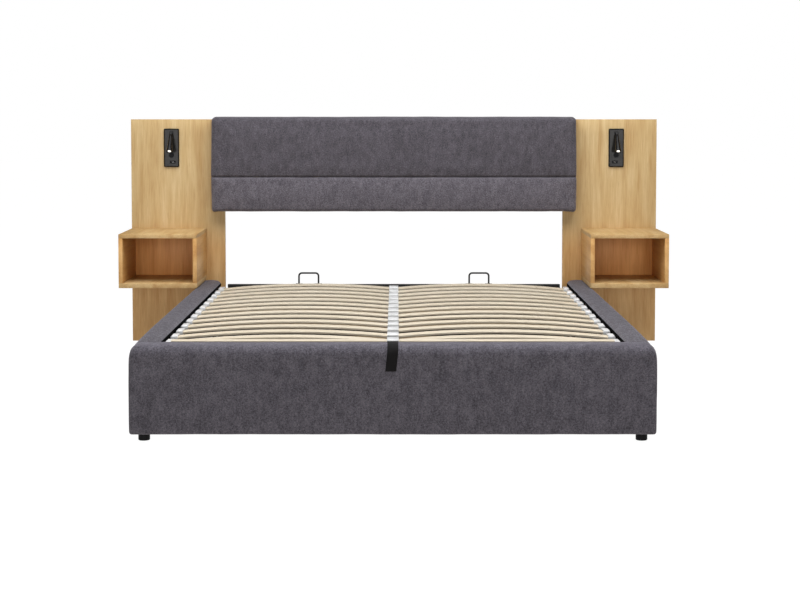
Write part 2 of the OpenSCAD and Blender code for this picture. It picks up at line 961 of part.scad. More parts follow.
// Bent-rod hoop that keeps the mattress in place, on two base plates
module mattress_retainer() {
    base_z = frame_bottom + end_tube_h;
    leg_top = hoop_top - hoop_bend;
    color(steel) translate([retainer_x, hoop_y, 0]) {
        mirrored_pair() {
            translate([hoop_half, 0, base_z]) cylinder(h = leg_top - base_z, r = hoop_r);
            translate([hoop_half - hoop_bend, 0, leg_top]) rotate([90, 0, 0])
                rotate_extrude(angle = 90) translate([hoop_bend, 0]) circle(hoop_r);
            translate([hoop_half - hoop_base[0] / 2, -hoop_base[1] / 2, base_z])
                cube(hoop_base);
        }
        translate([-hoop_half + hoop_bend, 0, hoop_top]) rotate([0, 90, 0])
            cylinder(h = 2 * (hoop_half - hoop_bend), r = hoop_r);
    }
}

// Outline of a strip of even thickness that follows a path
function unit(v) = v / norm(v);
function across(v) = [-v[1], v[0]];
function strip_normal(path, i) = unit(across(unit(path[min(i + 1, len(path) - 1)]
    - path[max(i - 1, 0)])));
function strip_outline(path, t) = concat(
    [for (i = [0:len(path) - 1]) path[i] + strip_normal(path, i) * t / 2],
    [for (i = [len(path) - 1:-1:0]) path[i] - strip_normal(path, i) * t / 2]);

// The strap's path: up the foot rail's front, over its top, down to the end tube
function arc_path(centre, r, a0, a1, steps) =
    [for (i = [0:steps]) let(a = a0 + (a1 - a0) * i / steps)
        centre + r * [cos(a), sin(a)]];
module lift_strap() {
    mid = skin_gap + strap_t / 2;
    front_centre = [foot_y + rail_edge_r, rail_top - rail_edge_r];
    rear_centre = [foot_inner_y - rail_inner_r, rail_top - rail_inner_r];
    tube_top = frame_bottom + end_tube_h + strap_t / 2;
    path = concat([[foot_y - mid, strap_end_z]],
        arc_path(front_centre, rail_edge_r + mid, 180, 90, front_steps),
        arc_path(rear_centre, rail_inner_r + mid, 90, strap_turn, rear_steps),
        [[foot_inner_y + strap_inset, tube_top],
            [frame_foot_y + tube - strap_inset, tube_top]]);
    color(steel) along_x(-strap_w / 2, strap_w) polygon(strip_outline(path, strap_t));
}

// ---- lift linkage -----------------------------------------------------------

// Outline of a straight bar between two points
module link_bar(a, b, w) {
    run = b - a;
    translate(a) rotate(atan2(run[1], run[0])) translate([0, -w / 2]) square([norm(run), w]);
}

module wall_stud(at, r, x0) {
    bar_x(at, r, x0, wall_plate_in - x0 + bite);
}

// Steel plate bolted to the side rail, with the linkage's three fixed pins
module lift_wall_plate() {
    y0 = front_wall[0] - wall_plate_margin;
    y1 = strut_wall[0] + wall_plate_margin;
    rear_head_x = rear_link_x - pin_head_t - shadow_gap;
    front_head_x = front_link_x - pin_head_t - shadow_gap;
    strut_head_x = strut_x - strut_eye_t / 2 - strut_head_t - shadow_gap;
    color(zinc) {
        difference() {
            along_x(wall_plate_in, wall_plate_t) {
                polygon([[y0, wall_plate_low], [y1, wall_plate_low],
                    [y1, wall_plate_high - wall_plate_bevel],
                    [rear_wall[0] + rear_pad_run, wall_plate_high],
                    rear_wall + [rear_pad_r, rear_pad_up],
                    rear_wall + [-rear_pad_r, rear_pad_up],
                    [y0, wall_plate_high]]);
                translate(rear_wall) circle(rear_pad_r);
            }
            lift_bolt_shanks(fit);
        }
        wall_stud(rear_wall, pin_r, rear_head_x);
        wall_stud(rear_wall, pin_head_r, rear_link_x + link_t + shadow_gap);
        bar_x(rear_wall, pin_head_r, rear_head_x, pin_head_t);
        wall_stud(front_wall, pin_r, front_head_x);
        wall_stud(front_wall, pin_head_r, front_link_x + link_t + shadow_gap);
        bar_x(front_wall, pin_head_r, front_head_x, pin_head_t);
        wall_stud(strut_wall, strut_pin_r, strut_head_x);
        wall_stud(strut_wall, strut_eye_r, strut_x + strut_eye_t / 2 + shadow_gap);
        bar_x(strut_wall, strut_head_r, strut_head_x, strut_head_t);
    }
}

module rear_link() {
    head_x = deck_plate_x - pin_head_t - shadow_gap;
    color(steel) {
        difference() {
            along_x(rear_link_x, link_t) {
                link_bar(rear_wall, rear_deck, link_w);
                translate(rear_wall) circle(eye_r);
                translate(rear_deck) circle(eye_r);
            }
            bar_x(rear_wall, pin_r + fit, rear_link_x - cut, link_t + 2 * cut);
        }
        bar_x(rear_deck, pin_r, head_x, rear_link_x + bite - head_x);
        bar_x(rear_deck, pin_head_r, deck_plate_x + link_t + shadow_gap,
            rear_link_x - deck_plate_x - link_t);
        bar_x(rear_deck, pin_head_r, head_x, pin_head_t);
    }
}

module rear_links() {
    mirrored_pair() rear_link();
}

module front_link() {
    brace = front_wall + unit(front_deck - front_wall) * brace_reach;
    outer_x = deck_plate_x - washer_t - shadow_gap;
    color(steel) {
        difference() {
            along_x(front_link_x, link_t) {
                link_bar(front_wall, front_deck, link_w);
                link_bar(front_wall, strut_lug, arm_w);
                link_bar(strut_lug, brace, brace_w);
                translate(front_wall) circle(eye_r);
                translate(front_deck) circle(eye_r);
                translate(strut_lug) circle(lug_eye_r);
            }
            bar_x(front_wall, pin_r + fit, front_link_x - cut, link_t + 2 * cut);
        }
        bar_x(front_deck, open_pin_r, outer_x, front_link_x + bite - outer_x);
        bar_x(front_deck, washer_r, outer_x, washer_t);
        bar_x(front_deck, eye_r, deck_plate_x + link_t + shadow_gap, washer_t);
    }
}

module front_links() {
    mirrored_pair() front_link();
}

// Plate welded under a side tube, which the links carry
module lift_deck_plate() {
    color(steel) difference() {
        along_x(deck_plate_x, link_t) {
            polygon([[front_deck[0] - deck_plate_margin, frame_bottom],
                [rear_deck[0] + deck_plate_margin, frame_bottom],
                rear_deck + [eye_r, 0], rear_deck - [0, eye_r],
                front_deck + [deck_plate_heel, -eye_r],
                front_deck - [deck_plate_heel, eye_r]]);
            translate(rear_deck) circle(eye_r);
            translate(front_deck) circle(washer_r);
        }
        bar_x(rear_deck, pin_r + fit, deck_plate_x - cut, link_t + 2 * cut);
        bar_x(front_deck, open_pin_r + open_clear, deck_plate_x - cut, link_t + 2 * cut);
    }
}

module lift_deck_plates() {
    mirrored_pair() lift_deck_plate();
}

// Puts a shape built along +Z from the strut's wall pin in its place
module along_strut() {
    translate([strut_x, strut_wall[0], strut_wall[1]])
        rotate([strut_angle - 90, 0, 0]) children();
}

module strut_cylinder() {
    chamber_start = tube_start + strut_base_t;
    chamber_end = tube_end - gland_t;
    color(steel) along_strut() difference() {
        union() {
            translate([-strut_eye_t / 2, 0, 0]) rotate([0, 90, 0])
                cylinder(h = strut_eye_t, r = strut_eye_r);
            cylinder(h = tube_start + bite, r = strut_neck_r);
            translate([0, 0, tube_start]) cylinder(h = tube_end - tube_start, r = strut_r);
        }
        translate([-strut_eye_t, 0, 0]) rotate([0, 90, 0])
            cylinder(h = 2 * strut_eye_t, r = strut_pin_r + fit);
        translate([0, 0, chamber_start])
            cylinder(h = chamber_end - chamber_start, r = strut_r - strut_wall_t);
        translate([0, 0, chamber_end - cut])
            cylinder(h = gland_t + 2 * cut, r = rod_r + fit);
    }
}

module strut_cylinders() {
    mirrored_pair() strut_cylinder();
}

// Piston rod, with the eye and stub pin that meet the front link's lug
module strut_rod() {
    rod_start = tube_end - gland_t - piston_back;
    color(zinc) {
        along_strut() {
            translate([0, 0, rod_start])
                cylinder(h = strut_len - rod_start - rod_short, r = rod_r);
            translate([0, 0, rod_start])
                cylinder(h = piston_t, r = strut_r - strut_wall_t - fit);
            translate([-strut_eye_t / 2, 0, strut_len]) rotate([0, 90, 0])
                cylinder(h = strut_eye_t, r = strut_eye_r);
        }
        bar_x(strut_lug, lug_pin_r, strut_x, front_link_x - shadow_gap - strut_x);
    }
}

module strut_rods() {
    mirrored_pair() strut_rod();
}

foot_rail_core();
foot_rail_cover();
left_hand() side_rail_core();  // side_rail_core_left
side_rail_core();  // side_rail_core_right
left_hand() side_rail_cover();  // side_rail_cover_left
side_rail_cover();  // side_rail_cover_right
head_end_board();
storage_floor();
floor_battens();
corner_feet();
centre_legs();
corner_brackets();
frame_bolts();
platform_rests();
left_hand() lift_wall_plate();  // lift_wall_plate_left
lift_wall_plate();  // lift_wall_plate_right
left_hand() wood_panel();  // wood_panel_left
wood_panel();  // wood_panel_right
rear_cross_rails();
cross_rail_bolts();
headboard_board();
headboard_upper_pad();
headboard_lower_pad();
left_hand() stand_top_board();  // nightstand_left_top
left_hand() stand_bottom_board();  // nightstand_left_bottom
left_hand() stand_outer_board();  // nightstand_left_outer_side
left_hand() stand_inner_board();  // nightstand_left_inner_side
left_hand() stand_back_board();  // nightstand_left_back
stand_top_board();  // nightstand_right_top
stand_bottom_board();  // nightstand_right_bottom
stand_outer_board();  // nightstand_right_outer_side
stand_inner_board();  // nightstand_right_inner_side
stand_back_board();  // nightstand_right_back
nightstand_screws();
left_hand() lamp_wall_plate();  // lamp_wall_plate_left
lamp_wall_plate();  // lamp_wall_plate_right
charging_ports();
lamp_driver_boxes();
left_hand() lamp_knuckle();  // lamp_left_knuckle
left_hand() lamp_head();  // lamp_left_head
left_hand() lamp_lens();  // lamp_left_lens
lamp_knuckle();  // lamp_right_knuckle
lamp_head();  // lamp_right_head
lamp_lens();  // lamp_right_lens
platform_side_tubes();
platform_end_tubes();
platform_spine();
platform_cross_tubes();
left_hand() slats();  // slats_left
slats();  // slats_right
slat_caps();
slat_centre_holders();
left_hand() mattress_retainer();  // mattress_retainer_left
mattress_retainer();  // mattress_retainer_right
lift_strap();
lift_deck_plates();
rear_links();
front_links();
strut_cylinders();
strut_rods();
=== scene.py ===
"""Looks of a lift-up storage bed with oak panels, nightstands, reading lights and a padded headboard."""

import json
import logging
import math
from dataclasses import dataclass, field
from enum import Enum
from typing import Callable, Sequence

import bmesh
import bpy
from mathutils import Matrix, Vector, noise
from mathutils.kdtree import KDTree

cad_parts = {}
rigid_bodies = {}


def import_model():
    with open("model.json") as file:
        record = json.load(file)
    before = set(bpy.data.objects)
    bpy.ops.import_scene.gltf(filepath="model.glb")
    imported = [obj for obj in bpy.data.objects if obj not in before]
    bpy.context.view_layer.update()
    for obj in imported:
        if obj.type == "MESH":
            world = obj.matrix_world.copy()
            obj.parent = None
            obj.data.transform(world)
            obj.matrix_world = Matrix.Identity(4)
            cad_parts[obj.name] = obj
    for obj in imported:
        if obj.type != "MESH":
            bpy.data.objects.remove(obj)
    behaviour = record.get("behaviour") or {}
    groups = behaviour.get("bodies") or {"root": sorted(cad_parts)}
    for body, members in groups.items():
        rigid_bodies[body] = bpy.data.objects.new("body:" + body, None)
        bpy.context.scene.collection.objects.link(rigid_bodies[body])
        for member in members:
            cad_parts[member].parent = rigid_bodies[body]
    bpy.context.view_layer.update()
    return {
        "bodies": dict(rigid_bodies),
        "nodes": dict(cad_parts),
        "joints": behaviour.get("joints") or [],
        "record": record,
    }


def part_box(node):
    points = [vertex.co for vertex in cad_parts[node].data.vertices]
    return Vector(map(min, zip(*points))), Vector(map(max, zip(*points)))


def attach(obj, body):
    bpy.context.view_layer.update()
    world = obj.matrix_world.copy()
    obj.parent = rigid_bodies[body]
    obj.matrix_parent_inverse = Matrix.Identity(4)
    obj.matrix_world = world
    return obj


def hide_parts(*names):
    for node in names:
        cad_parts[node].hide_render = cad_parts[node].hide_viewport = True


LOG = logging.getLogger("storage_bed")

Colour = tuple[float, float, float]
Point = tuple[float, float, float]
Flat = tuple[float, float]
Skin = tuple[list[Vector], list[list[int]]]
Socket = bpy.types.NodeSocket
Material = bpy.types.Material
Piece = bpy.types.Object

EVEN: Point = (1.0, 1.0, 1.0)
UNMOVED: Point = (0.0, 0.0, 0.0)
WHITE: Colour = (1.0, 1.0, 1.0)

# The mix node's colour sockets share their names with others, so they are taken by number.
MIX_FAC, MIX_A, MIX_B, MIX_RESULT = 0, 6, 7, 2

RIGHT_ANGLE = 90.0
HALF_TURN = 180.0
QUARTER = math.radians(RIGHT_ANGLE)
MM = 1000
WELD = 1e-6
LEAST_RADIUS = 1e-5
FULLEST_ROUNDING = 0.499
CLOTH_CREASE = 40.0
BOARD_CREASE = 50.0
ROUND_PROFILE = 0.5
EDGE_STEPS = 2
NOISE_DRIFT = 2.1
WELD_DIGITS = 5
ROW_DIGITS = 3


class Axis(Enum):
    """A direction of the row frame."""

    X = 0
    Y = 1
    Z = 2


class Side(Enum):
    """The two mirrored halves of the bed, seen from the foot."""

    LEFT = -1
    RIGHT = 1

    @property
    def word(self) -> str:
        """The side's name as the nodes spell it."""
        return self.name.lower()


# ---------------------------------------------------------------- node graphs


@dataclass(frozen=True)
class Pattern:
    """One layer of noise in a finish.

    Its scale is its frequency per metre, its weight how much it counts, and along how far it is squeezed
    along a grain. Detail counts the finer layers, rough is their strength and warp how far it is distorted.
    """

    scale: float
    weight: float = 1.0
    along: float = 1.0
    detail: float = 2.0
    rough: float = 0.5
    warp: float = 0.0


class Graph:
    """A material's node tree, with short calls that add and join nodes."""

    wave_detail = 2.0
    wave_detail_scale = 1.5
    new_stop_at = 0.5

    def __init__(self, name: str) -> None:
        """Makes an empty material.

        Args:
            name: The material's name.
        """
        self.material = bpy.data.materials.new(name)
        self.material.use_nodes = True
        self.tree = self.material.node_tree
        self.tree.nodes.clear()
        self.shader = self.tree.nodes.new("ShaderNodeBsdfPrincipled")
        out = self.tree.nodes.new("ShaderNodeOutputMaterial")
        self.tree.links.new(self.shader.outputs["BSDF"], out.inputs["Surface"])
        self.place = self.tree.nodes.new("ShaderNodeTexCoord").outputs["Object"]

    def constant(self, **values: float | Colour) -> None:
        """Sets sockets of the shader by name, with _ for a space."""
        for key, value in values.items():
            socket = self.shader.inputs[key.replace("_", " ")]
            socket.default_value = (*value, 1.0) if isinstance(value, tuple) else value

    def join(self, source: Socket, name: str) -> None:
        """Joins a socket to one of the shader's inputs."""
        self.tree.links.new(source, self.shader.inputs[name])

    def scaled(self, scale: Point = EVEN, offset: Point = UNMOVED) -> Socket:
        """Returns the place on the piece, stretched and moved.

        Args:
            scale: Factor along each axis.
            offset: Shift along each axis, after scaling.

        Returns:
            The vector socket.
        """
        node = self.tree.nodes.new("ShaderNodeMapping")
        node.inputs["Scale"].default_value = scale
        node.inputs["Location"].default_value = offset
        self.tree.links.new(self.place, node.inputs["Vector"])
        return node.outputs["Vector"]

    def height(self) -> Socket:
        """Returns how high on the piece a place is, in metres."""
        node = self.tree.nodes.new("ShaderNodeSeparateXYZ")
        self.tree.links.new(self.place, node.inputs["Vector"])
        return node.outputs["Z"]

    def noise(self, at: Socket, pattern: Pattern) -> Socket:
        """Returns a noise pattern's value.

        Args:
            at: Where it is read.
            pattern: What it is like.

        Returns:
            The value socket, about 0 to 1.
        """
        node = self.tree.nodes.new("ShaderNodeTexNoise")
        keys = ("Scale", "Detail", "Roughness", "Distortion")
        for key, value in zip(keys, (pattern.scale, pattern.detail, pattern.rough, pattern.warp)):
            node.inputs[key].default_value = value
        self.tree.links.new(at, node.inputs["Vector"])
        return node.outputs["Fac"]

    def grained(self, grain: Axis, pattern: Pattern, offset: Point = UNMOVED) -> Socket:
        """Returns a pattern that runs along a grain.

        Args:
            grain: The axis of the grain.
            pattern: What it is like.
            offset: Shift along each axis.

        Returns:
            The value socket, about 0 to 1.
        """
        scale = list(EVEN)
        scale[grain.value] = pattern.along
        return self.noise(self.scaled(tuple(scale), offset), pattern)

    def cells(self, at: Socket, scale: float) -> Socket:
        """Returns the distance to the nearest of scattered points.

        Args:
            at: Where it is read.
            scale: Cells per metre.

        Returns:
            The value socket.
        """
        node = self.tree.nodes.new("ShaderNodeTexVoronoi")
        node.inputs["Scale"].default_value = scale
        self.tree.links.new(at, node.inputs["Vector"])
        return node.outputs["Distance"]

    def waves(self, at: Socket, scale: float, axis: Axis, warp: float) -> Socket:
        """Returns parallel soft stripes across an axis.

        Args:
            at: Where they are read.
            scale: Their frequency.
            axis: The axis that they follow one another along.
            warp: How far they are distorted.

        Returns:
            The value socket, 0 to 1.
        """
        node = self.tree.nodes.new("ShaderNodeTexWave")
        node.bands_direction = axis.name
        node.inputs["Scale"].default_value = scale
        node.inputs["Distortion"].default_value = warp
        node.inputs["Detail"].default_value = self.wave_detail
        node.inputs["Detail Scale"].default_value = self.wave_detail_scale
        self.tree.links.new(at, node.inputs["Vector"])
        return node.outputs["Fac"]

    def maths(self, kind: str, a: Socket | float, b: Socket | float) -> Socket:
        """Returns a sum, product or other arithmetic result of two values.

        Args:
            kind: Blender's name of the operation.
            a: The first value.
            b: The second value.

        Returns:
            The value socket.
        """
        node = self.tree.nodes.new("ShaderNodeMath")
        node.operation = kind
        for slot, value in zip(node.inputs, (a, b)):
            if isinstance(value, float):
                slot.default_value = value
            else:
                self.tree.links.new(value, slot)
        return node.outputs["Value"]

    def weighted(self, *parts: tuple[Socket, float]) -> Socket:
        """Returns a weighted sum.

        Args:
            parts: Pairs of value and weight.

        Returns:
            The value socket.
        """
        total, *others = [self.maths("MULTIPLY", value, weight) for value, weight in parts]
        for other in others:
            total = self.maths("ADD", total, other)
        return total

    def ramp(self, fac: Socket, stops: Sequence[tuple[float, Colour]]) -> Socket:
        """Returns a colour looked up along a row of stops.

        Args:
            fac: The value that is looked up.
            stops: Pairs of place and colour, in order.

        Returns:
            The colour socket.
        """
        node = self.tree.nodes.new("ShaderNodeValToRGB")
        points = node.color_ramp.elements
        while len(points) < len(stops):
            points.new(self.new_stop_at)
        for point, (place, colour) in zip(points, stops):
            point.position = place
            point.color = (*colour, 1.0)
        self.tree.links.new(fac, node.inputs["Fac"])
        return node.outputs["Color"]

    def levels(self, fac: Socket, source: Flat, target: Flat = (0.0, 1.0)) -> Socket:
        """Returns a value stretched from one range to another, and kept inside it.

        Args:
            fac: The value.
            source: Both ends of its range.
            target: What it becomes at the two ends.

        Returns:
            The value socket.
        """
        node = self.tree.nodes.new("ShaderNodeMapRange")
        for key, value in zip(("From Min", "From Max", "To Min", "To Max"), (*source, *target)):
            node.inputs[key].default_value = value
        self.tree.links.new(fac, node.inputs["Value"])
        return node.outputs["Result"]

    def mixed(self, fac: Socket, a: Socket | Colour, b: Socket | Colour, how: str = "MIX") -> Socket:
        """Returns two colours mixed, multiplied or overlaid.

        Args:
            fac: How much of the second.
            a: The first colour.
            b: The second colour.
            how: Blender's name of the blend.

        Returns:
            The colour socket.
        """
        node = self.tree.nodes.new("ShaderNodeMix")
        node.data_type = "RGBA"
        node.blend_type = how
        self.tree.links.new(fac, node.inputs[MIX_FAC])
        for slot, value in ((node.inputs[MIX_A], a), (node.inputs[MIX_B], b)):
            if isinstance(value, tuple):
                slot.default_value = (*value, 1.0)
            else:
                self.tree.links.new(value, slot)
        return node.outputs[MIX_RESULT]

    def bumps(self, height: Socket, depth: float, strength: float = 1.0) -> None:
        """Raises the surface's light and shade by a height pattern.

        Args:
            height: The pattern, 0 to 1.
            depth: Its full height, in metres.
            strength: How much of it is used.
        """
        node = self.tree.nodes.new("ShaderNodeBump")
        node.inputs["Strength"].default_value = strength
        node.inputs["Distance"].default_value = depth
        self.tree.links.new(height, node.inputs["Height"])
        self.join(node.outputs["Normal"], "Normal")


# ------------------------------------------------------------------- finishes


@dataclass(frozen=True)
class Upholstery:
    """Grey looped upholstery cloth, speckled by its yarn.

    The painted light tints the cloth of one cut, lighter or darker as light and shade fall on it; the
    contrast narrows the step from dark to light, and the stretch squeezes the yarn's pattern along Y.
    """

    name: str
    # tint of this cut's painted light or shade
    nap: Colour = WHITE
    contrast: float = 1.0
    stretch: float = 1.0
    dark: Colour = (0.054, 0.050, 0.060)
    middle: Colour = (0.104, 0.096, 0.113)
    light: Colour = (0.180, 0.168, 0.196)
    loop_scale: float = 380.0
    loop_weight: float = 0.25
    slubs: Pattern = Pattern(190.0, 0.85, detail=3.0, rough=0.6, warp=0.6)
    mottle: Pattern = Pattern(58.0, 0.36, rough=0.6)
    mottle_spread: Point = (1.0, 1.0, 0.45)
    patches: Pattern = Pattern(21.0, 0.19, rough=0.6)
    patches_offset: Point = (3.0, 1.0, 2.0)
    tone: Pattern = Pattern(9.0, 0.07)
    shade_middle: float = 0.604
    shade_below: float = 0.21
    shade_above: float = 0.245
    roughness: float = 0.92
    gloss: float = 0.08
    sheen: float = 0.35
    sheen_roughness: float = 0.45
    sheen_tint: Colour = (0.72, 0.70, 0.78)
    relief: float = 0.0009
    relief_share: float = 0.8

    def brushed(self, colour: Colour) -> Colour:
        """Returns a colour of the cloth with this cut's painted light or shade."""
        return tuple(c * n for c, n in zip(colour, self.nap))

    def make(self) -> Material:
        """Makes the material.

        Returns:
            The material.
        """
        g = Graph(self.name)
        near = g.scaled((1.0, self.stretch, 1.0))
        loops = g.cells(near, self.loop_scale)
        slubs = g.noise(near, self.slubs)
        mottle = g.noise(g.scaled(self.mottle_spread), self.mottle)
        patches = g.noise(g.scaled(offset=self.patches_offset), self.patches)
        tone = g.noise(near, self.tone)
        yarn = g.weighted((slubs, self.slubs.weight), (loops, -self.loop_weight))
        broad = g.weighted(
            (mottle, self.mottle.weight), (tone, self.tone.weight), (patches, self.patches.weight))
        # the yarn's colours take this cut's painted light or shade
        dark, middle, light = (self.brushed(c) for c in (self.dark, self.middle, self.light))
        stops = (
            (self.shade_middle - self.shade_below / self.contrast, dark),
            (self.shade_middle, middle),
            (self.shade_middle + self.shade_above / self.contrast, light))
        g.join(g.ramp(g.maths("ADD", yarn, broad), stops), "Base Color")
        g.constant(Roughness=self.roughness, Specular_IOR_Level=self.gloss)
        g.constant(Sheen_Weight=self.sheen, Sheen_Roughness=self.sheen_roughness, Sheen_Tint=self.sheen_tint)
        g.bumps(g.maths("SUBTRACT", slubs, loops), self.relief, self.relief_share)
        return g.material


@dataclass(frozen=True)
class Oak:
    """Oak veneer with its grain along one axis. Some cuts' tints are painted light or shade, and a low tint
    paints shade on the lower part.
    """

    name: str
    grain: Axis
    offset: float = 0.0
    tint: Colour = WHITE
    # painted shade tint of the lower part, and the heights over which it fades out
    low_tint: Colour | None = None
    low_from: Flat = (0.48, 0.62)
    drift: Point = (1.0, 0.7, 1.3)
    pale: Colour = (0.635, 0.460, 0.232)
    middle: Colour = (0.545, 0.362, 0.160)
    deep: Colour = (0.448, 0.264, 0.098)
    pore: Colour = (0.310, 0.155, 0.050)
    brightest: float = 0.9
    tone_stops: tuple[float, float, float] = (0.42, 0.55, 0.68)
    bands: Pattern = Pattern(11.0, 0.34, 0.05)
    figure: Pattern = Pattern(30.0, 0.46, 0.10, detail=3.0, rough=0.55, warp=0.4)
    fibre: Pattern = Pattern(240.0, 0.30, 0.035, detail=3.0, rough=0.6)
    pores: Pattern = Pattern(720.0, 0.35, 0.03, detail=1.0)
    pores_from: Flat = (0.62, 0.74)
    fibre_from: Flat = (0.3, 0.7)
    roughness: Flat = (0.42, 0.55)
    gloss: float = 0.25
    relief: float = 0.00012
    relief_share: float = 0.6

    def tinted(self, colour: Colour) -> Colour:
        """Returns a colour of the wood with this cut's tint, which holds painted light or shade in the
        nightstands' cuts.
        """
        return tuple(min(self.brightest, c * t) for c, t in zip(colour, self.tint))

    def make(self) -> Material:
        """Makes the material.

        Returns:
            The material.
        """
        g = Graph(self.name)
        offset = tuple(self.offset * d for d in self.drift)
        layers = (self.bands, self.figure, self.fibre, self.pores)
        bands, figure, fibre, holes = (g.grained(self.grain, layer, offset) for layer in layers)
        pores = g.levels(holes, self.pores_from)
        tone = g.weighted(
            (bands, self.bands.weight), (figure, self.figure.weight), (fibre, self.fibre.weight))
        colours = (self.tinted(c) for c in (self.deep, self.middle, self.pale))
        wood = g.ramp(tone, tuple(zip(self.tone_stops, colours)))
        wood = g.mixed(g.maths("MULTIPLY", pores, self.pores.weight), wood, self.tinted(self.pore))
        # Painted shade: the low tint darkens and warms the wood below the nightstands and fades out upwards.
        if self.low_tint:
            wood = g.mixed(g.levels(g.height(), self.low_from, (1.0, 0.0)), wood, self.low_tint, "MULTIPLY")
        g.join(wood, "Base Color")
        g.join(g.levels(fibre, self.fibre_from, self.roughness), "Roughness")
        g.constant(Specular_IOR_Level=self.gloss)
        g.bumps(g.maths("SUBTRACT", fibre, pores), self.relief, self.relief_share)
        return g.material


@dataclass(frozen=True)
class PaleWood:
    """Pale sawn wood or plywood, with faint grain along one axis."""

    name: str
    grain: Axis
    light: Colour
    dark: Colour
    rough: float = 0.6
    veins: Pattern = Pattern(46.0, 0.7, 0.03, detail=3.0, rough=0.55, warp=0.3)
    fibre: Pattern = Pattern(420.0, 0.3, 0.03, rough=0.6)
    dark_at: float = 0.36
    light_at: float = 0.62
    gloss: float = 0.35
    relief: float = 0.0001
    relief_share: float = 0.5

    def make(self) -> Material:
        """Makes the material.

        Returns:
            The material.
        """
        g = Graph(self.name)
        veins, fibre = (g.grained(self.grain, layer) for layer in (self.veins, self.fibre))
        tone = g.weighted((veins, self.veins.weight), (fibre, self.fibre.weight))
        g.join(g.ramp(tone, ((self.dark_at, self.dark), (self.light_at, self.light))), "Base Color")
        g.constant(Roughness=self.rough, Specular_IOR_Level=self.gloss)
        g.bumps(fibre, self.relief, self.relief_share)
        return g.material


@dataclass(frozen=True)
class Coating:
    """Paint, powder coat or moulded plastic, with a fine skin and slightly worn tone."""

    name: str
    colour: Colour
    rough: float
    metal: float = 0.0
    relief: float = 0.00006
    relief_share: float = 0.6
    gloss: float = 0.5
    skin: Pattern = Pattern(900.0)
    wear: Pattern = Pattern(22.0)
    wear_from: Flat = (0.3, 0.7)
    worn_tones: Flat = (0.86, 1.08)
    worn_rough: Flat = (-0.04, 0.05)

    def make(self) -> Material:
        """Makes the material.

        Returns:
            The material.
        """
        g = Graph(self.name)
        near = g.scaled()
        skin, wear = g.noise(near, self.skin), g.noise(near, self.wear)
        tones = (tuple(min(1.0, tone * c) for c in self.colour) for tone in self.worn_tones)
        g.join(g.ramp(wear, tuple(zip(self.wear_from, tones))), "Base Color")
        smoother, rougher = (self.rough + more for more in self.worn_rough)
        g.join(g.levels(wear, self.wear_from, (smoother, rougher)), "Roughness")
        g.constant(Metallic=self.metal, Specular_IOR_Level=self.gloss)
        g.bumps(skin, self.relief, self.relief_share)
        return g.material


@dataclass(frozen=True)
class Webbing:
    """Black woven webbing with ribs along its length."""

    name: str = "strap_webbing"
    rib_scale: float = 160.0
    rib_warp: float = 0.3
    weft_scale: float = 210.0
    weft_warp: float = 0.6
    share: float = 0.5
    # Painted shade and highlight: the weave's hollows get a darker black, its crests a lighter one.
    hollow: tuple[float, Colour] = (0.1, (0.003, 0.003, 0.003))
    crest: tuple[float, Colour] = (0.9, (0.016, 0.015, 0.016))
    roughness: float = 0.8
    gloss: float = 0.1
    sheen: float = 0.05
    sheen_roughness: float = 0.5
    relief: float = 0.0005
    relief_share: float = 0.8

    def make(self) -> Material:
        """Makes the material.

        Returns:
            The material.
        """
        g = Graph(self.name)
        near = g.scaled()
        ribs = g.waves(near, self.rib_scale, Axis.X, self.rib_warp)
        weft = g.waves(near, self.weft_scale, Axis.Z, self.weft_warp)
        woven = g.maths("MULTIPLY", g.maths("ADD", ribs, weft), self.share)
        # hollows painted darker, crests lighter
        g.join(g.ramp(woven, (self.hollow, self.crest)), "Base Color")
        g.constant(Roughness=self.roughness, Specular_IOR_Level=self.gloss)
        g.constant(Sheen_Weight=self.sheen, Sheen_Roughness=self.sheen_roughness)
        g.bumps(woven, self.relief, self.relief_share)
        return g.material


@dataclass(frozen=True)
class Glow:
    """White diffuser with the lamp's light behind it."""

    name: str = "lamp_lens_glow"
    strength: float = 1.1
    frost: Pattern = Pattern(600.0)
    dull: tuple[float, Colour] = (0.2, (0.93, 0.92, 0.88))
    bright: tuple[float, Colour] = (0.8, (1.0, 0.99, 0.96))
    light: Colour = (1.0, 0.98, 0.93)
    roughness: float = 0.35

    def make(self) -> Material:
        """Makes the material.

        Returns:
            The material.
        """
        g = Graph(self.name)
        g.join(g.ramp(g.noise(g.scaled(), self.frost), (self.dull, self.bright)), "Base Color")
        g.constant(Roughness=self.roughness, Emission_Color=self.light, Emission_Strength=self.strength)
        return g.material


# -------------------------------------------------------------- mesh workshop


def new_object(name: str, skin: Skin, material: Material) -> Piece:
    """Makes a smooth-shaded mesh object with its normals turned outwards.

    Args:
        name: The piece's name.
        skin: Its points, in the row frame, and its faces.
        material: Its finish.

    Returns:
        The new object.
    """
    points, faces = skin
    mesh = bpy.data.meshes.new(name)
    mesh.from_pydata([tuple(p) for p in points], [], [tuple(f) for f in faces])
    work = bmesh.new()
    work.from_mesh(mesh)
    bmesh.ops.remove_doubles(work, verts=work.verts, dist=WELD)
    bmesh.ops.recalc_face_normals(work, faces=work.faces)
    return finished(name, mesh, work, material, CLOTH_CREASE)


def finished(
        name: str, mesh: bpy.types.Mesh, work: bmesh.types.BMesh, material: Material,
        crease: float) -> Piece:
    """Puts a worked mesh into the scene with its finish, shaded smooth but for its creases.

    Args:
        name: The piece's name.
        mesh: Takes the result.
        work: The worked mesh, which is freed.
        material: Its finish.
        crease: Edges sharper than this many degrees stay crisp.

    Returns:
        The new object.
    """
    limit = math.radians(crease)
    work.normal_update()
    for face in work.faces:
        face.smooth = True
    for edge in work.edges:
        edge.smooth = len(edge.link_faces) == 2 and edge.calc_face_angle(0.0) < limit
    work.to_mesh(mesh)
    work.free()
    mesh.materials.append(material)
    piece = bpy.data.objects.new(name, mesh)
    bpy.context.scene.collection.objects.link(piece)
    return piece


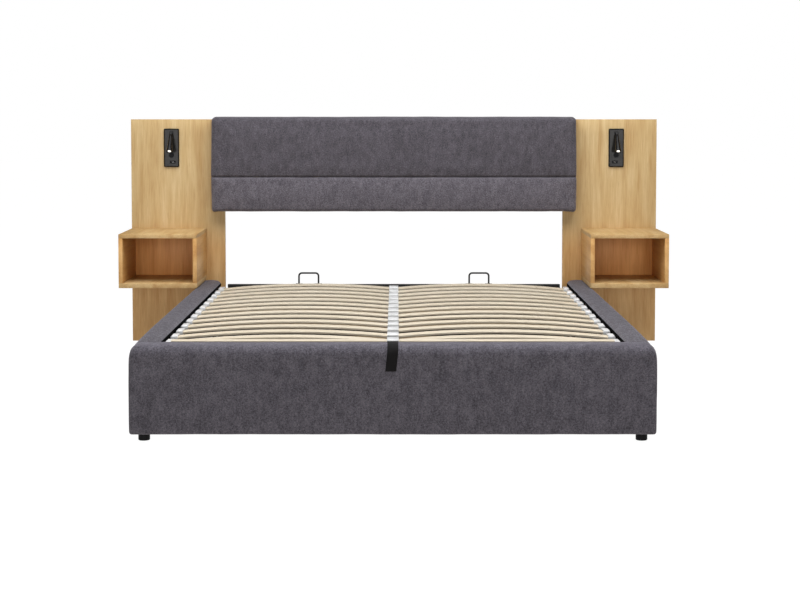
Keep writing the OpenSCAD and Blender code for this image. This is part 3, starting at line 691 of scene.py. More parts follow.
def rounded_ring(
        low: Flat, high: Flat, radii: Sequence[float], corner: int, sides: Sequence[int]) -> list[Flat]:
    """Points round a rectangle with rounded corners, the same count whatever its size.

    Args:
        low: Lower left corner.
        high: Upper right corner.
        radii: Radius of the lower left, lower right, upper right and upper left corner.
        corner: Steps in each corner.
        sides: Steps along the bottom, right, top and left side.

    Returns:
        The points, anticlockwise from the left end of the bottom side.
    """
    most = FULLEST_ROUNDING * min(high[0] - low[0], high[1] - low[1])
    ll, lr, ur, ul = (max(LEAST_RADIUS, min(r, most)) for r in radii)
    centres = (
        (high[0] - lr, low[1] + lr, lr), (high[0] - ur, high[1] - ur, ur),
        (low[0] + ul, high[1] - ul, ul), (low[0] + ll, low[1] + ll, ll))
    ring: list[Flat] = []
    start = (low[0] + ll, low[1])
    for turn, (cx, cy, r) in enumerate(centres):
        first = QUARTER * (turn - 1)
        end = (cx + r * math.cos(first), cy + r * math.sin(first))
        for i in range(sides[turn]):
            t = i / sides[turn]
            ring.append((start[0] + (end[0] - start[0]) * t, start[1] + (end[1] - start[1]) * t))
        for i in range(corner):
            a = first + QUARTER * i / corner
            ring.append((cx + r * math.cos(a), cy + r * math.sin(a)))
        last = first + QUARTER
        start = (cx + r * math.cos(last), cy + r * math.sin(last))
    return ring


def skin_rings(rings: Sequence[Sequence[Vector]], capped: bool = True) -> Skin:
    """Joins closed rings of points into a tube of quads.

    Args:
        rings: Rings with the same number of points.
        capped: Whether the two ends are closed.

    Returns:
        The points and the faces.
    """
    points = [p for ring in rings for p in ring]
    n = len(rings[0])
    faces = []
    for k in range(len(rings) - 1):
        for i in range(n):
            after = (i + 1) % n
            faces.append([k * n + i, k * n + after, (k + 1) * n + after, (k + 1) * n + i])
    if capped:
        for k in (0, len(rings) - 1):
            middle = sum((Vector(p) for p in rings[k]), Vector()) / n
            points.append(middle)
            faces += [[len(points) - 1, k * n + i, k * n + (i + 1) % n] for i in range(n)]
    return points, faces


def gathered(shapes: Sequence[Skin]) -> Skin:
    """Puts several shapes into one, each still separate.

    Args:
        shapes: The points and the faces of each.

    Returns:
        The points and the faces of all.
    """
    points: list[Vector] = []
    faces: list[list[int]] = []
    for more_points, more_faces in shapes:
        faces += [[i + len(points) for i in face] for face in more_faces]
        points += more_points
    return points, faces


def drop(u: float, r: float) -> float:
    """How far a rounded end of radius r falls back at distance u from the end."""
    return r - math.sqrt(max(0.0, r * r - (r - u) ** 2)) if u < r else 0.0


def eased(s: float, over: float) -> float:
    """Share of a change that is reached at distance s, where it comes in softly over a length."""
    return math.sin(QUARTER * min(1.0, s / over))


def stations(length: float, first: float, last: float, steps: int, turn: int = 7) -> list[float]:
    """Distances along a piece, closer together over its two rounded ends.

    Args:
        length: The whole length.
        first: Length of the rounding at the start.
        last: Length of the rounding at the end.
        steps: Steps between the two roundings.
        turn: Steps in each rounding.

    Returns:
        The distances, from 0 to the length.
    """
    quarter = [1 - math.cos(QUARTER * i / turn) for i in range(turn)]
    flat = [first + (length - first - last) * i / steps for i in range(steps + 1)]
    return [first * q for q in quarter] + flat + [length - last * q for q in reversed(quarter)]


def ruffle(
        piece: Piece, rises: Sequence[Flat], seed: float,
        weight: Callable[[Vector], float] | None = None) -> None:
    """Moves a mesh's points in and out along their normals by smooth noise.

    Args:
        piece: The mesh object.
        rises: Pairs of height and wavelength, in metres.
        seed: Shifts the noise.
        weight: How much of it a place gets.
    """
    mesh = piece.data
    shift = Vector((seed, NOISE_DRIFT * seed, -seed))
    normals = [v.normal.copy() for v in mesh.vertices]
    for vertex, normal in zip(mesh.vertices, normals):
        at = vertex.co.copy()
        lift = sum(h * noise.noise(at / w + shift) for h, w in rises)
        vertex.co = at + normal * lift * (weight(at) if weight else 1.0)
    mesh.update()


def islands(node: str) -> list[tuple[Vector, Vector]]:
    """The box of each separate solid of a CAD node.

    Args:
        node: The node's name.

    Returns:
        Lowest and highest corner of each, ordered along Y and then X.
    """
    mesh = bpy.data.objects[node].data
    keys: dict[Point, int] = {}
    joined: list[int] = []

    def root(i: int) -> int:
        """Finds the number that stands for a point's whole solid.

        Args:
            i: The point's number.

        Returns:
            The solid's number.
        """
        while joined[i] != i:
            joined[i] = joined[joined[i]]
            i = joined[i]
        return i

    index = []
    for vertex in mesh.vertices:
        key = tuple(round(c, WELD_DIGITS) for c in vertex.co)
        if key not in keys:
            keys[key] = len(joined)
            joined.append(len(joined))
        index.append(keys[key])
    for face in mesh.polygons:
        first = root(index[face.vertices[0]])
        for other in face.vertices[1:]:
            joined[root(index[other])] = first
    boxes: dict[int, tuple[Vector, Vector]] = {}
    for key, number in keys.items():
        group = root(number)
        at = Vector(key)
        low, high = boxes.get(group, (at, at))
        boxes[group] = (Vector(map(min, low, at)), Vector(map(max, high, at)))
    return sorted(boxes.values(), key=lambda b: (round(b[0].y, ROW_DIGITS), b[0].x))


def bevelled(name: str, low: Vector, high: Vector, radius: float, material: Material) -> Piece:
    """A board or block with softly broken edges.

    Args:
        name: The piece's name.
        low: Lowest corner.
        high: Highest corner.
        radius: Size of the broken edges.
        material: Its finish.

    Returns:
        The new object.
    """
    work = bmesh.new()
    bmesh.ops.create_cube(work, size=1.0)
    size, middle = high - low, (high + low) / 2
    for vertex in work.verts:
        vertex.co = Vector(a * b for a, b in zip(vertex.co, size)) + middle
    break_edges(work, work.edges, radius)
    return finished(name, bpy.data.meshes.new(name), work, material, BOARD_CREASE)


def break_edges(work: bmesh.types.BMesh, edges: Sequence[bmesh.types.BMEdge], radius: float) -> None:
    """Rounds some edges of a worked mesh.

    Args:
        work: The mesh.
        edges: The edges.
        radius: How far they are broken.
    """
    bmesh.ops.bevel(
        work, geom=list(edges), offset=radius, segments=EDGE_STEPS, profile=ROUND_PROFILE, affect="EDGES")


def merged(name: str, pieces: Sequence[Piece]) -> Piece:
    """Joins several new pieces into one object.

    Args:
        name: The joined piece's name.
        pieces: The objects to join.

    Returns:
        The joined object.
    """
    with bpy.context.temp_override(active_object=pieces[0], selected_editable_objects=list(pieces)):
        bpy.ops.object.join()
    pieces[0].name = name
    pieces[0].data.name = name
    return pieces[0]


def place(piece: Piece, body: str, slot: str, *nodes: str) -> Piece:
    """Hangs a piece on its body and hides the CAD nodes that it replaces.

    Args:
        piece: The new object.
        body: The body that it moves with.
        slot: Not used.
        nodes: CAD nodes that it replaces.

    Returns:
        The same object.
    """
    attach(piece, body)
    if nodes:
        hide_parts(*nodes)
    LOG.info("%s on %s, %d points", piece.name, body, len(piece.data.vertices))
    return piece


# --------------------------------------------------------------- sub-assemblies


@dataclass
class BedBox:
    """The padded rails round the storage box.

    A rail's cloth stands out by grow, and its foam swells by puff more. A side rail tucks into the foot
    rail. Away from it, its outer edge gets fuller and its top is crowned.
    """

    cloth: Material
    cloth_foot: Material
    top_outer_r: float = 0.036
    full_outer_r: float = 0.027
    fuller_from: float = 0.600
    top_inner_r: float = 0.014
    low_r: float = 0.008
    back_r: float = 0.002
    corner_r: float = 0.012
    start_r: float = 0.006
    end_r: float = 0.003
    end_steps: int = 3
    end_share: float = 0.5
    corner_steps: int = 6
    tuck: float = 0.010
    step: float = 0.012
    grow: float = 0.0050
    puff: float = 0.0010
    crown: float = 0.0075
    crown_from: float = 0.140
    crown_deep: float = 0.050
    unevenness: tuple[Flat, ...] = ((0.0007, 0.11), (0.0004, 0.038))
    foot_seed: float = 3.7
    side_seed: float = 9.1
    felt: float = 0.0009
    bite: float = 0.0020
    lining_drop: float = 0.030
    lining_turn: float = 24.0
    lining_turn_steps: int = 8
    lining_steps: int = 24
    lining_inset: float = 0.004

    def steps_round(self, across: float, tall: float) -> tuple[int, int, int, int]:
        """Returns the steps along the bottom, right, top and left of a rail's section."""
        return (int(across / self.step), int(tall / self.step)) * 2

    def foot_rail(self) -> Piece:
        """Builds the foot rail, swept from left to right.

        Returns:
            The piece.
        """
        low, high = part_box("foot_rail_cover")
        low -= Vector((self.grow, self.grow, self.grow))
        high += Vector((self.grow, 0.0, 0.0))
        length = high.x - low.x
        sides = self.steps_round(high.y - low.y, high.z - low.z)
        radii = (self.low_r, self.back_r, self.top_inner_r, self.top_outer_r)
        rings = []
        for s in stations(length, self.top_outer_r, self.top_outer_r, int(length / self.step)):
            u = min(s, length - s)
            front, top, under = drop(u, self.corner_r), drop(u, self.top_outer_r), drop(u, self.low_r)
            ring = rounded_ring(
                (low.y + front, low.z + under), (high.y, high.z - top), radii, self.corner_steps, sides)
            rings.append([Vector((low.x + s, y, z)) for y, z in ring])
        piece = new_object("foot_rail_upholstery", skin_rings(rings), self.cloth_foot)
        self.pad_out(piece, low, high, self.foot_seed)
        place(piece, "bed_frame", "upholstery", "foot_rail_cover")
        return piece

    def side_rail(self, side: Side) -> Piece:
        """Builds one side rail, swept from the foot to the panel.

        Args:
            side: Which side of the bed.

        Returns:
            The piece.
        """
        node = f"side_rail_cover_{side.word}"
        low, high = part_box(node)
        low.z -= self.grow
        if side is Side.LEFT:
            low.x -= self.grow
        else:
            high.x += self.grow
        start = low.y - self.tuck
        length = high.y - start
        width = high.x - low.x
        sides = self.steps_round(width, high.z - low.z)
        rings = []
        for s in stations(length, self.start_r, self.end_r, int(length / self.step), self.end_steps):
            shy = drop(min(s, length - s), self.end_r) * self.end_share
            outer_r = self.top_outer_r - (self.top_outer_r - self.full_outer_r) * eased(s, self.fuller_from)
            radii = (self.back_r, self.low_r, outer_r, self.top_inner_r)
            if side is Side.LEFT:
                radii = (self.low_r, self.back_r, self.top_inner_r, outer_r)
            section = rounded_ring(
                (low.x + shy, low.z + shy), (high.x - shy, high.z - shy), radii, self.corner_steps, sides)
            rise = self.crown * eased(s, self.crown_from)
            ring = []
            for x, z in section:
                lift = rise * self.crowned((x - low.x) / width, high.z - z)
                ring.append(Vector((x, start + s, z + lift)))
            rings.append(ring)
        piece = new_object(f"side_rail_upholstery_{side.word}", skin_rings(rings), self.cloth)
        self.pad_out(piece, low, high, self.side_seed + side.value)
        place(piece, "bed_frame", "upholstery", node)
        return piece

    def crowned(self, across: float, below: float) -> float:
        """Returns a place's share of the crown, by its share of the width and its depth below the top."""
        return (1.0 - (2.0 * across - 1.0) ** 2) * max(0.0, 1.0 - below / self.crown_deep)

    def lining(self, side: Side, felt: Material) -> Piece:
        """Builds the black strip along a side rail's inner edge, down the top of its inner face.

        Args:
            side: Which side of the bed.
            felt: Its finish.

        Returns:
            The piece.
        """
        low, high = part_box(f"side_rail_cover_{side.word}")
        inner = low.x if side is Side.RIGHT else high.x
        centre_x, centre_z = inner + side.value * self.top_inner_r, high.z - self.top_inner_r
        turn, turns = math.radians(self.lining_turn), self.lining_turn_steps
        profile: list[Flat] = [(0.0, -self.lining_drop)]
        profile += [(turn * i / turns, 0.0) for i in range(turns + 1)]
        outer, under = [], []
        for angle, fall in profile:
            for ring, r in ((outer, self.top_inner_r + self.felt), (under, self.top_inner_r - self.bite)):
                across, up = r * math.cos(angle), r * math.sin(angle)
                ring.append((centre_x - side.value * across, centre_z + fall + up))
        section = outer + under[::-1]
        ends = (low.y + self.lining_inset, high.y - self.lining_inset)
        rings = []
        for i in range(self.lining_steps + 1):
            y = ends[0] + (ends[1] - ends[0]) * i / self.lining_steps
            rings.append([Vector((x, y, z)) for x, z in section])
        piece = new_object(f"rail_lining_{side.word}", skin_rings(rings), felt)
        place(piece, "bed_frame", "strap_webbing")
        return piece

    def pad_out(self, piece: Piece, low: Vector, high: Vector, seed: float) -> None:
        """Lets the foam swell a little under the cloth, away from the edges.

        Args:
            piece: The rail.
            low: Its lowest corner.
            high: Its highest corner.
            seed: Shifts the unevenness.
        """
        ruffle(piece, self.unevenness, seed)
        span = high.z - low.z
        normals = [v.normal.copy() for v in piece.data.vertices]
        for vertex, normal in zip(piece.data.vertices, normals):
            v = (vertex.co.z - low.z) / span
            swell = self.puff * math.sin(math.pi * min(1.0, max(0.0, v)))
            vertex.co += Vector((normal.x, normal.y, 0.0)) * swell
        piece.data.update()


@dataclass
class Inflation:
    """A short cloth simulation that lets a pad's cover swell over its filling.

    A pad's points take a share of their nearest neighbours' movement, up to a cap. The evening is added to
    every distance, so that no single neighbour counts alone.
    """

    voxel: float = 0.008
    pressure: float = 4.0
    quality: int = 5
    last_frame: int = 20
    share: float = 0.19
    cap: float = 0.0055
    nearest: int = 4
    evening: float = 0.002

    def movement(self, piece: Piece, held: Callable[[Vector], bool]) -> tuple[KDTree, list[Vector]]:
        """Simulates a remeshed copy of a pad under pressure, and removes the copy.

        Args:
            piece: The pad, a little smaller than it will be.
            held: Says where the cover is fixed.

        Returns:
            The copy's points before the simulation, and how far each one moved.
        """
        scene = bpy.context.scene
        rough = bpy.data.objects.new("pad_rough", piece.data.copy())
        scene.collection.objects.link(rough)
        remesh = rough.modifiers.new("even", "REMESH")
        remesh.mode, remesh.voxel_size = "VOXEL", self.voxel
        even = bpy.data.meshes.new_from_object(rough.evaluated_get(bpy.context.evaluated_depsgraph_get()))
        cover = bpy.data.objects.new("pad_cover", even)
        scene.collection.objects.link(cover)
        pins = cover.vertex_groups.new(name="held")
        pins.add([v.index for v in even.vertices if held(v.co)], 1.0, "REPLACE")
        cloth = cover.modifiers.new("swell", "CLOTH").settings
        cloth.use_pressure, cloth.uniform_pressure_force = True, self.pressure
        cloth.effector_weights.gravity = 0.0
        cloth.quality, cloth.vertex_group_mass = self.quality, pins.name
        for frame in range(1, self.last_frame + 1):
            scene.frame_set(frame)
        after = cover.evaluated_get(bpy.context.evaluated_depsgraph_get()).data.vertices
        tree = KDTree(len(even.vertices))
        moves = []
        for vertex in even.vertices:
            tree.insert(vertex.co, vertex.index)
            moves.append(after[vertex.index].co - vertex.co)
        tree.balance()
        scene.frame_set(1)
        for spare in (rough, cover):
            mesh = spare.data
            bpy.data.objects.remove(spare)
            bpy.data.meshes.remove(mesh)
        return tree, moves

    def apply(self, piece: Piece, held: Callable[[Vector], bool]) -> None:
        """Moves a pad's own points as its simulated cover moved, in part and only so far.

        Args:
            piece: The pad.
            held: Says where the cover is fixed.
        """
        tree, moves = self.movement(piece, held)
        most = 0.0
        for vertex in piece.data.vertices:
            found = tree.find_n(vertex.co, self.nearest)
            near = [(moves[i], 1.0 / (gap + self.evening)) for _, i, gap in found]
            move = sum((m * w for m, w in near), Vector()) * (self.share / sum(w for _, w in near))
            if move.length > self.cap:
                move *= self.cap / move.length
            most = max(most, move.length)
            vertex.co += move
        piece.data.update()
        LOG.info("%s swelled by up to %.1f mm", piece.name, most * MM)


@dataclass
class Headboard:
    """The two pads of the headboard.

    Each starts shallower than its solid by slack, and swells. It is held near the board and at the seam.
    """

    cloth_upper: Material
    cloth_lower: Material
    inflation: Inflation = field(default_factory=Inflation)
    round_r: float = 0.020
    lower_round_r: float = 0.014
    seam_r: float = 0.012
    seam_end_r: float = 0.004
    back_r: float = 0.002
    corner_steps: int = 7
    back_steps: int = 4
    slack: float = 0.0045
    board_proud: float = 0.002
    held_back: float = 0.012
    held_seam: float = 0.009
    step: float = 0.010
    puckers: tuple[Flat, ...] = ((0.0022, 0.034),)
    pucker_reach: float = 0.022
    pucker_seed: float = 5.3
    unevenness: tuple[Flat, ...] = ((0.0010, 0.13), (0.0005, 0.045))
    seed: float = 1.7

    def pad(self, name: str, node: str, seam_below: bool) -> Piece:
        """Builds one pad, swept from left to right, then swollen by a cloth simulation.

        Args:
            name: The piece's name.
            node: The CAD node that it stands for.
            seam_below: Whether the seam to the other pad is under it.

        Returns:
            The piece.
        """
        low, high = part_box(node)
        back = high.y - self.board_proud
        length, depth, height = high.x - low.x, back - low.y, high.z - low.z
        r_low, r_high = (self.seam_r, self.round_r) if seam_below else (self.lower_round_r, self.seam_r)
        end_low = self.seam_end_r if seam_below else self.lower_round_r
        end_high = self.round_r if seam_below else self.seam_end_r
        sides = (int(depth / self.step), self.back_steps, int(depth / self.step), int(height / self.step))
        rings = []
        for s in stations(length, self.round_r, self.round_r, int(length / self.step)):
            u = min(s, length - s)
            ring = rounded_ring(
                (low.y + self.slack + drop(u, self.round_r), low.z + drop(u, end_low)),
                (back, high.z - drop(u, end_high)),
                (r_low, self.back_r, self.back_r, r_high), self.corner_steps, sides)
            rings.append([Vector((low.x + s, y, z)) for y, z in ring])
        piece = new_object(name, skin_rings(rings), self.cloth_upper if seam_below else self.cloth_lower)
        seam_z = low.z if seam_below else high.z

        def held(at: Vector) -> bool:
            """Whether the cover is fixed at a place: on the board, or against the other pad."""
            return at.y > back - self.held_back or abs(at.z - seam_z) < self.held_seam

        def near_seam(at: Vector) -> float:
            """Weight of the seam's puckers at a place."""
            return math.exp(-abs(at.z - seam_z) / self.pucker_reach)

        self.inflation.apply(piece, held)
        ruffle(piece, self.puckers, self.pucker_seed + height, near_seam)
        ruffle(piece, self.unevenness, self.seed + height)
        for vertex in piece.data.vertices:
            vertex.co.y = min(vertex.co.y, back)
            vertex.co.x = min(max(vertex.co.x, low.x), high.x)
            vertex.co.z = max(vertex.co.z, low.z) if seam_below else min(vertex.co.z, high.z)
        place(piece, "bed_frame", "upholstery", node)
        return piece

    def build(self) -> None:
        """Builds both pads."""
        self.pad("headboard_pad_upper", "headboard_upper_pad", True)
        self.pad("headboard_pad_lower", "headboard_lower_pad", False)


@dataclass
class WallPanel:
    """One oak wall panel with its cut-out for the light's electrics."""

    side: Side
    oak: Material
    edge: float = 0.0012
    edge_angle: float = 1.0
    lamp_x: float = 1.026
    window_w: float = 0.0522
    window_low: float = 0.8899
    window_high: float = 1.0201
    window_field: tuple[int, int] = (1, 1)

    def build(self) -> Piece:
        """Builds the panel as a plate of nine fields with the middle one open.

        Returns:
            The piece.
        """
        node = f"wood_panel_{self.side.word}"
        name = f"oak_wall_panel_{self.side.word}"
        low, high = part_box(node)
        centre = self.side.value * self.lamp_x
        xs = (low.x, centre - self.window_w / 2, centre + self.window_w / 2, high.x)
        zs = (low.z, self.window_low, self.window_high, high.z)
        work = bmesh.new()
        corners = [[work.verts.new((x, low.y, z)) for z in zs] for x in xs]
        for i, (here, beyond) in enumerate(zip(corners, corners[1:])):
            for j in range(len(zs) - 1):
                if (i, j) != self.window_field:
                    work.faces.new((here[j], beyond[j], beyond[j + 1], here[j + 1]))
        made = bmesh.ops.extrude_face_region(work, geom=list(work.faces), use_keep_orig=True)
        moved = [g for g in made["geom"] if isinstance(g, bmesh.types.BMVert)]
        bmesh.ops.translate(work, verts=moved, vec=Vector((0.0, high.y - low.y, 0.0)))
        bmesh.ops.recalc_face_normals(work, faces=work.faces)
        break_edges(work, [e for e in work.edges if e.calc_face_angle(0.0) > self.edge_angle], self.edge)
        piece = finished(name, bpy.data.meshes.new(name), work, self.oak, BOARD_CREASE)
        return place(piece, "bed_frame", "oak", node)


@dataclass
class Nightstand:
    """One open box nightstand made of five boards."""

    side: Side
    board: Material
    flank: Material
    backing: Material
    edge: float = 0.0010

    def build(self) -> None:
        """Builds the five boards, each with its grain the way that it is cut."""
        for part in ("top", "bottom", "outer_side", "inner_side", "back"):
            node = f"nightstand_{self.side.word}_{part}"
            low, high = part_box(node)
            # The back's oak holds painted warm shade, the sides' oak painted warm light.
            wood = self.backing if part == "back" else self.flank if part.endswith("side") else self.board
            piece = bevelled(f"oak_{node}", low, high, self.edge, wood)
            place(piece, "bed_frame", "oak", node)


@dataclass
class Platform:
    """The slats with their holders, on the steel frame.

    A slat is bowed by its crown, or by the flat crown where it lies on the foot end's tube. A holder is a
    moulded sleeve round a pocket, rounded at its closed end and softly broken at its mouth.
    """

    birch: Material
    plastic: Material
    crown: float = 0.020
    flat_crown: float = 0.0002
    thickness: float = 0.008
    edge_r: float = 0.0016
    corner_steps: int = 4
    slat_sides: tuple[int, ...] = (4, 1, 4, 1)
    bow_steps: int = 36
    holder_r: float = 0.007
    holder_low_r: float = 0.0015
    holder_sides: tuple[int, ...] = (6, 2, 6, 2)
    joint_r: float = 0.0002
    round_stations: tuple[float, ...] = (0.0, 0.08, 0.3, 0.6, 1.0)
    lip: float = 0.001
    lip_shy: float = 0.0006
    pocket_w: float = 0.064
    pocket_h: float = 0.0124
    pocket_low: float = 0.0016
    pocket_r: float = 0.001
    pocket_lip: float = 0.0014
    pocket_flare: float = 0.0012
    flare_low: float = 0.0008
    cap_pocket: float = 0.018

    def slat(self, low: Vector, high: Vector, lean: float) -> Skin:
        """One bowed slat with rounded edges.

        Args:
            low: Lowest corner of its solid.
            high: Highest corner.
            lean: How much lower its outer end lies than its inner end.

        Returns:
            Points and faces.
        """
        half = (high.x - low.x) / 2
        middle_x = (high.x + low.x) / 2
        crown = high.z - low.z - self.thickness
        if crown < self.thickness:
            crown, lean = self.flat_crown, 0.0
        else:
            crown = self.crown
        radius = (half ** 2 + crown ** 2) / (2 * crown)
        centre_z = low.z + lean + crown - radius
        inner = min(abs(low.x), abs(high.x))
        reach = math.asin(half / radius)
        section = rounded_ring(
            (low.y, 0.0), (high.y, self.thickness), (self.edge_r,) * 4, self.corner_steps, self.slat_sides)
        rings = []
        for i in range(self.bow_steps + 1):
            a = -reach + 2 * reach * i / self.bow_steps
            rings.append([
                Vector((middle_x + (radius + t) * math.sin(a), y, centre_z + (radius + t) * math.cos(a)))
                for y, t in section])
        for end, x_end in ((0, low.x), (-1, high.x)):
            rings[end] = [Vector((x_end, p.y, p.z)) for p in rings[end]]
        for point in (p for ring in rings for p in ring):
            point.z -= lean * (abs(point.x) - inner) / (2 * half)
        return skin_rings(rings)

    def slats(self, side: Side) -> Piece:
        """Builds the slats of one half of the bed.

        Args:
            side: Which half.

        Returns:
            The piece.
        """
        node = f"slats_{side.word}"
        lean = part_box("slat_centre_holders")[0].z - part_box("slat_caps")[0].z
        skin = gathered([self.slat(low, high, lean) for low, high in islands(node)])
        piece = new_object(f"birch_slats_{side.word}", skin, self.birch)
        return place(piece, "platform", "birch", node)

    def sleeve(self, low: Vector, high: Vector, mouth: int, round_r: float) -> Skin:
        """A moulded holder with a pocket open on one side.

        Args:
            low: Lowest corner.
            high: Highest corner.
            mouth: +1 where the pocket opens towards +X, -1 towards -X.
            round_r: Rounding of the closed end.

        Returns:
            Points and faces.
        """
        middle = (low.y + high.y) / 2
        length = high.x - low.x

        def ring(at: float, corners: tuple[Flat, Flat], radii: Sequence[float]) -> list[Vector]:
            """Makes a ring of a given size.

            Args:
                at: Distance from the closed end.
                corners: Its lowest and highest corner in Y and Z.
                radii: Its four rounded corners.

            Returns:
                Its points.
            """
            x = low.x + at if mouth > 0 else high.x - at
            flat = rounded_ring(*corners, radii, self.corner_steps, self.holder_sides)
            return [Vector((x, y, z)) for y, z in flat]

        def outer(at: float, shy: float) -> list[Vector]:
            """Makes a ring of the outside.

            Args:
                at: Distance from the closed end.
                shy: How far the ring is drawn in.

            Returns:
                Its points.
            """
            radii = (self.holder_low_r, self.holder_low_r, self.holder_r, self.holder_r)
            return ring(at, ((low.y + shy, low.z), (high.y - shy, high.z - shy)), radii)

        def inner(at: float, grow: float) -> list[Vector]:
            """Makes a ring of the pocket.

            Args:
                at: Distance from the closed end.
                grow: How far the ring is widened.

            Returns:
                Its points.
            """
            under = low.z + self.pocket_low
            wide = self.pocket_w / 2 + grow
            corners = (
                (middle - wide, under - min(grow, self.flare_low)),
                (middle + wide, under + self.pocket_h + grow))
            return ring(at, corners, (self.pocket_r,) * 4)

        rings = [outer(round_r * q, drop(round_r * q, round_r)) for q in self.round_stations]
        rings += [outer(length - self.lip, 0.0), outer(length, self.lip_shy)]
        rings += [inner(length, self.pocket_flare), inner(length - self.pocket_lip, 0.0)]
        rings.append(inner(length - self.cap_pocket, 0.0))
        return skin_rings(rings)

    def cap(self, low: Vector, high: Vector) -> list[Skin]:
        """Returns the shape of one end cap, open towards the bed's middle."""
        mouth = -1 if low.x + high.x > 0 else 1
        return [self.sleeve(low, high, mouth, self.holder_r)]

    def middle_holder(self, low: Vector, high: Vector) -> list[Skin]:
        """Makes the two sleeves of one middle holder, back to back.

        Args:
            low: Lowest corner.
            high: Highest corner.

        Returns:
            The shapes of the right and the left sleeve.
        """
        wall_low, wall_high = Vector((0.0, low.y, low.z)), Vector((0.0, high.y, high.z))
        right = self.sleeve(wall_low, high, 1, self.joint_r)
        left = self.sleeve(low, wall_high, -1, self.joint_r)
        return [right, left]

    def holders(self) -> None:
        """Builds the end caps and the double holders in the middle."""
        for name, node, shape in (
                ("slat_end_caps", "slat_caps", self.cap),
                ("slat_middle_holders", "slat_centre_holders", self.middle_holder)):
            skin = gathered([sleeve for box in islands(node) for sleeve in shape(*box)])
            piece = new_object(name, skin, self.plastic)
            place(piece, "platform", "holder_plastic", node)


@dataclass
class PullStrap:
    """The webbing strap that hangs over the foot rail.

    It follows the rail's face, its rounded outer edge and a part of its inner edge, stands off by a gap, and
    ends on the platform's tube. Its hanging end swings a little to the left.
    """

    webbing: Material
    width: float = 0.037
    thickness: float = 0.0018
    gap: float = 0.0009
    swell: float = 0.0060
    skew: float = 0.007
    skew_points: int = 10
    outer_r: float = 0.036
    inner_r: float = 0.014
    face_steps: int = 8
    outer_steps: int = 8
    inner_steps: int = 4
    inner_turn: float = 26.0
    tube_gap: float = 0.0002
    dip: tuple[Flat, Flat] = ((0.004, 0.0008), (0.012, 0.0))
    tube_end: float = 0.026
    edge_share: float = 0.45
    corner_steps: int = 3
    sides: tuple[int, ...] = (8, 1, 8, 1)

    def path(self) -> list[Flat]:
        """Lays the strap's middle line from its hanging end to the end tube.

        Returns:
            Points in Y and Z.
        """
        low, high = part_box("foot_rail_cover")
        strap_low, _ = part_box("lift_strap")
        tube_low, tube_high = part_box("platform_end_tubes")
        off = self.gap + self.thickness / 2
        low.y -= self.swell
        face = high.z - self.outer_r - strap_low.z
        points = [(low.y - off, strap_low.z + face * i / self.face_steps) for i in range(self.face_steps)]
        edges = (
            (low.y + self.outer_r, self.outer_r, HALF_TURN, -RIGHT_ANGLE, self.outer_steps),
            (high.y - self.inner_r, self.inner_r, RIGHT_ANGLE, -self.inner_turn, self.inner_steps))
        for centre_y, rounding, first, turn, steps in edges:
            r, centre_z = rounding + off, high.z - rounding
            for i in range(steps + 1):
                a = math.radians(first + turn * i / steps)
                points.append((centre_y + r * math.cos(a), centre_z + r * math.sin(a)))
        rest = tube_high.z + self.thickness / 2 + self.tube_gap
        points += [(high.y + along, rest + up) for along, up in self.dip]
        return points + [(tube_low.y + self.tube_end, rest)]

    def ribbon(self, line: Sequence[Flat]) -> Skin:
        """The flat band that follows a line.

        Args:
            line: Points in Y and Z.

        Returns:
            Points and faces.
        """
        half_width, half_thick = self.width / 2, self.thickness / 2
        radii = (self.thickness * self.edge_share,) * 4
        section = rounded_ring(
            (-half_width, -half_thick), (half_width, half_thick), radii, self.corner_steps, self.sides)
        rings = []
        total = len(line) - 1
        for i, (y, z) in enumerate(line):
            before, after = line[max(0, i - 1)], line[min(total, i + 1)]
            run = Vector((0.0, after[0] - before[0], after[1] - before[1])).normalized()
            out = Vector((0.0, -run.z, run.y))
            middle = Vector((-self.skew * max(0.0, 1.0 - i / self.skew_points), y, z))
            rings.append([middle + Vector((a, 0.0, 0.0)) + out * b for a, b in section])
        return skin_rings(rings)

    def build(self) -> None:
        """Builds the strap and lays it on the rail and the tube."""
        line = self.path()
        strap = new_object("pull_strap", self.ribbon(line), self.webbing)
        place(strap, "platform", "strap_webbing", "lift_strap")


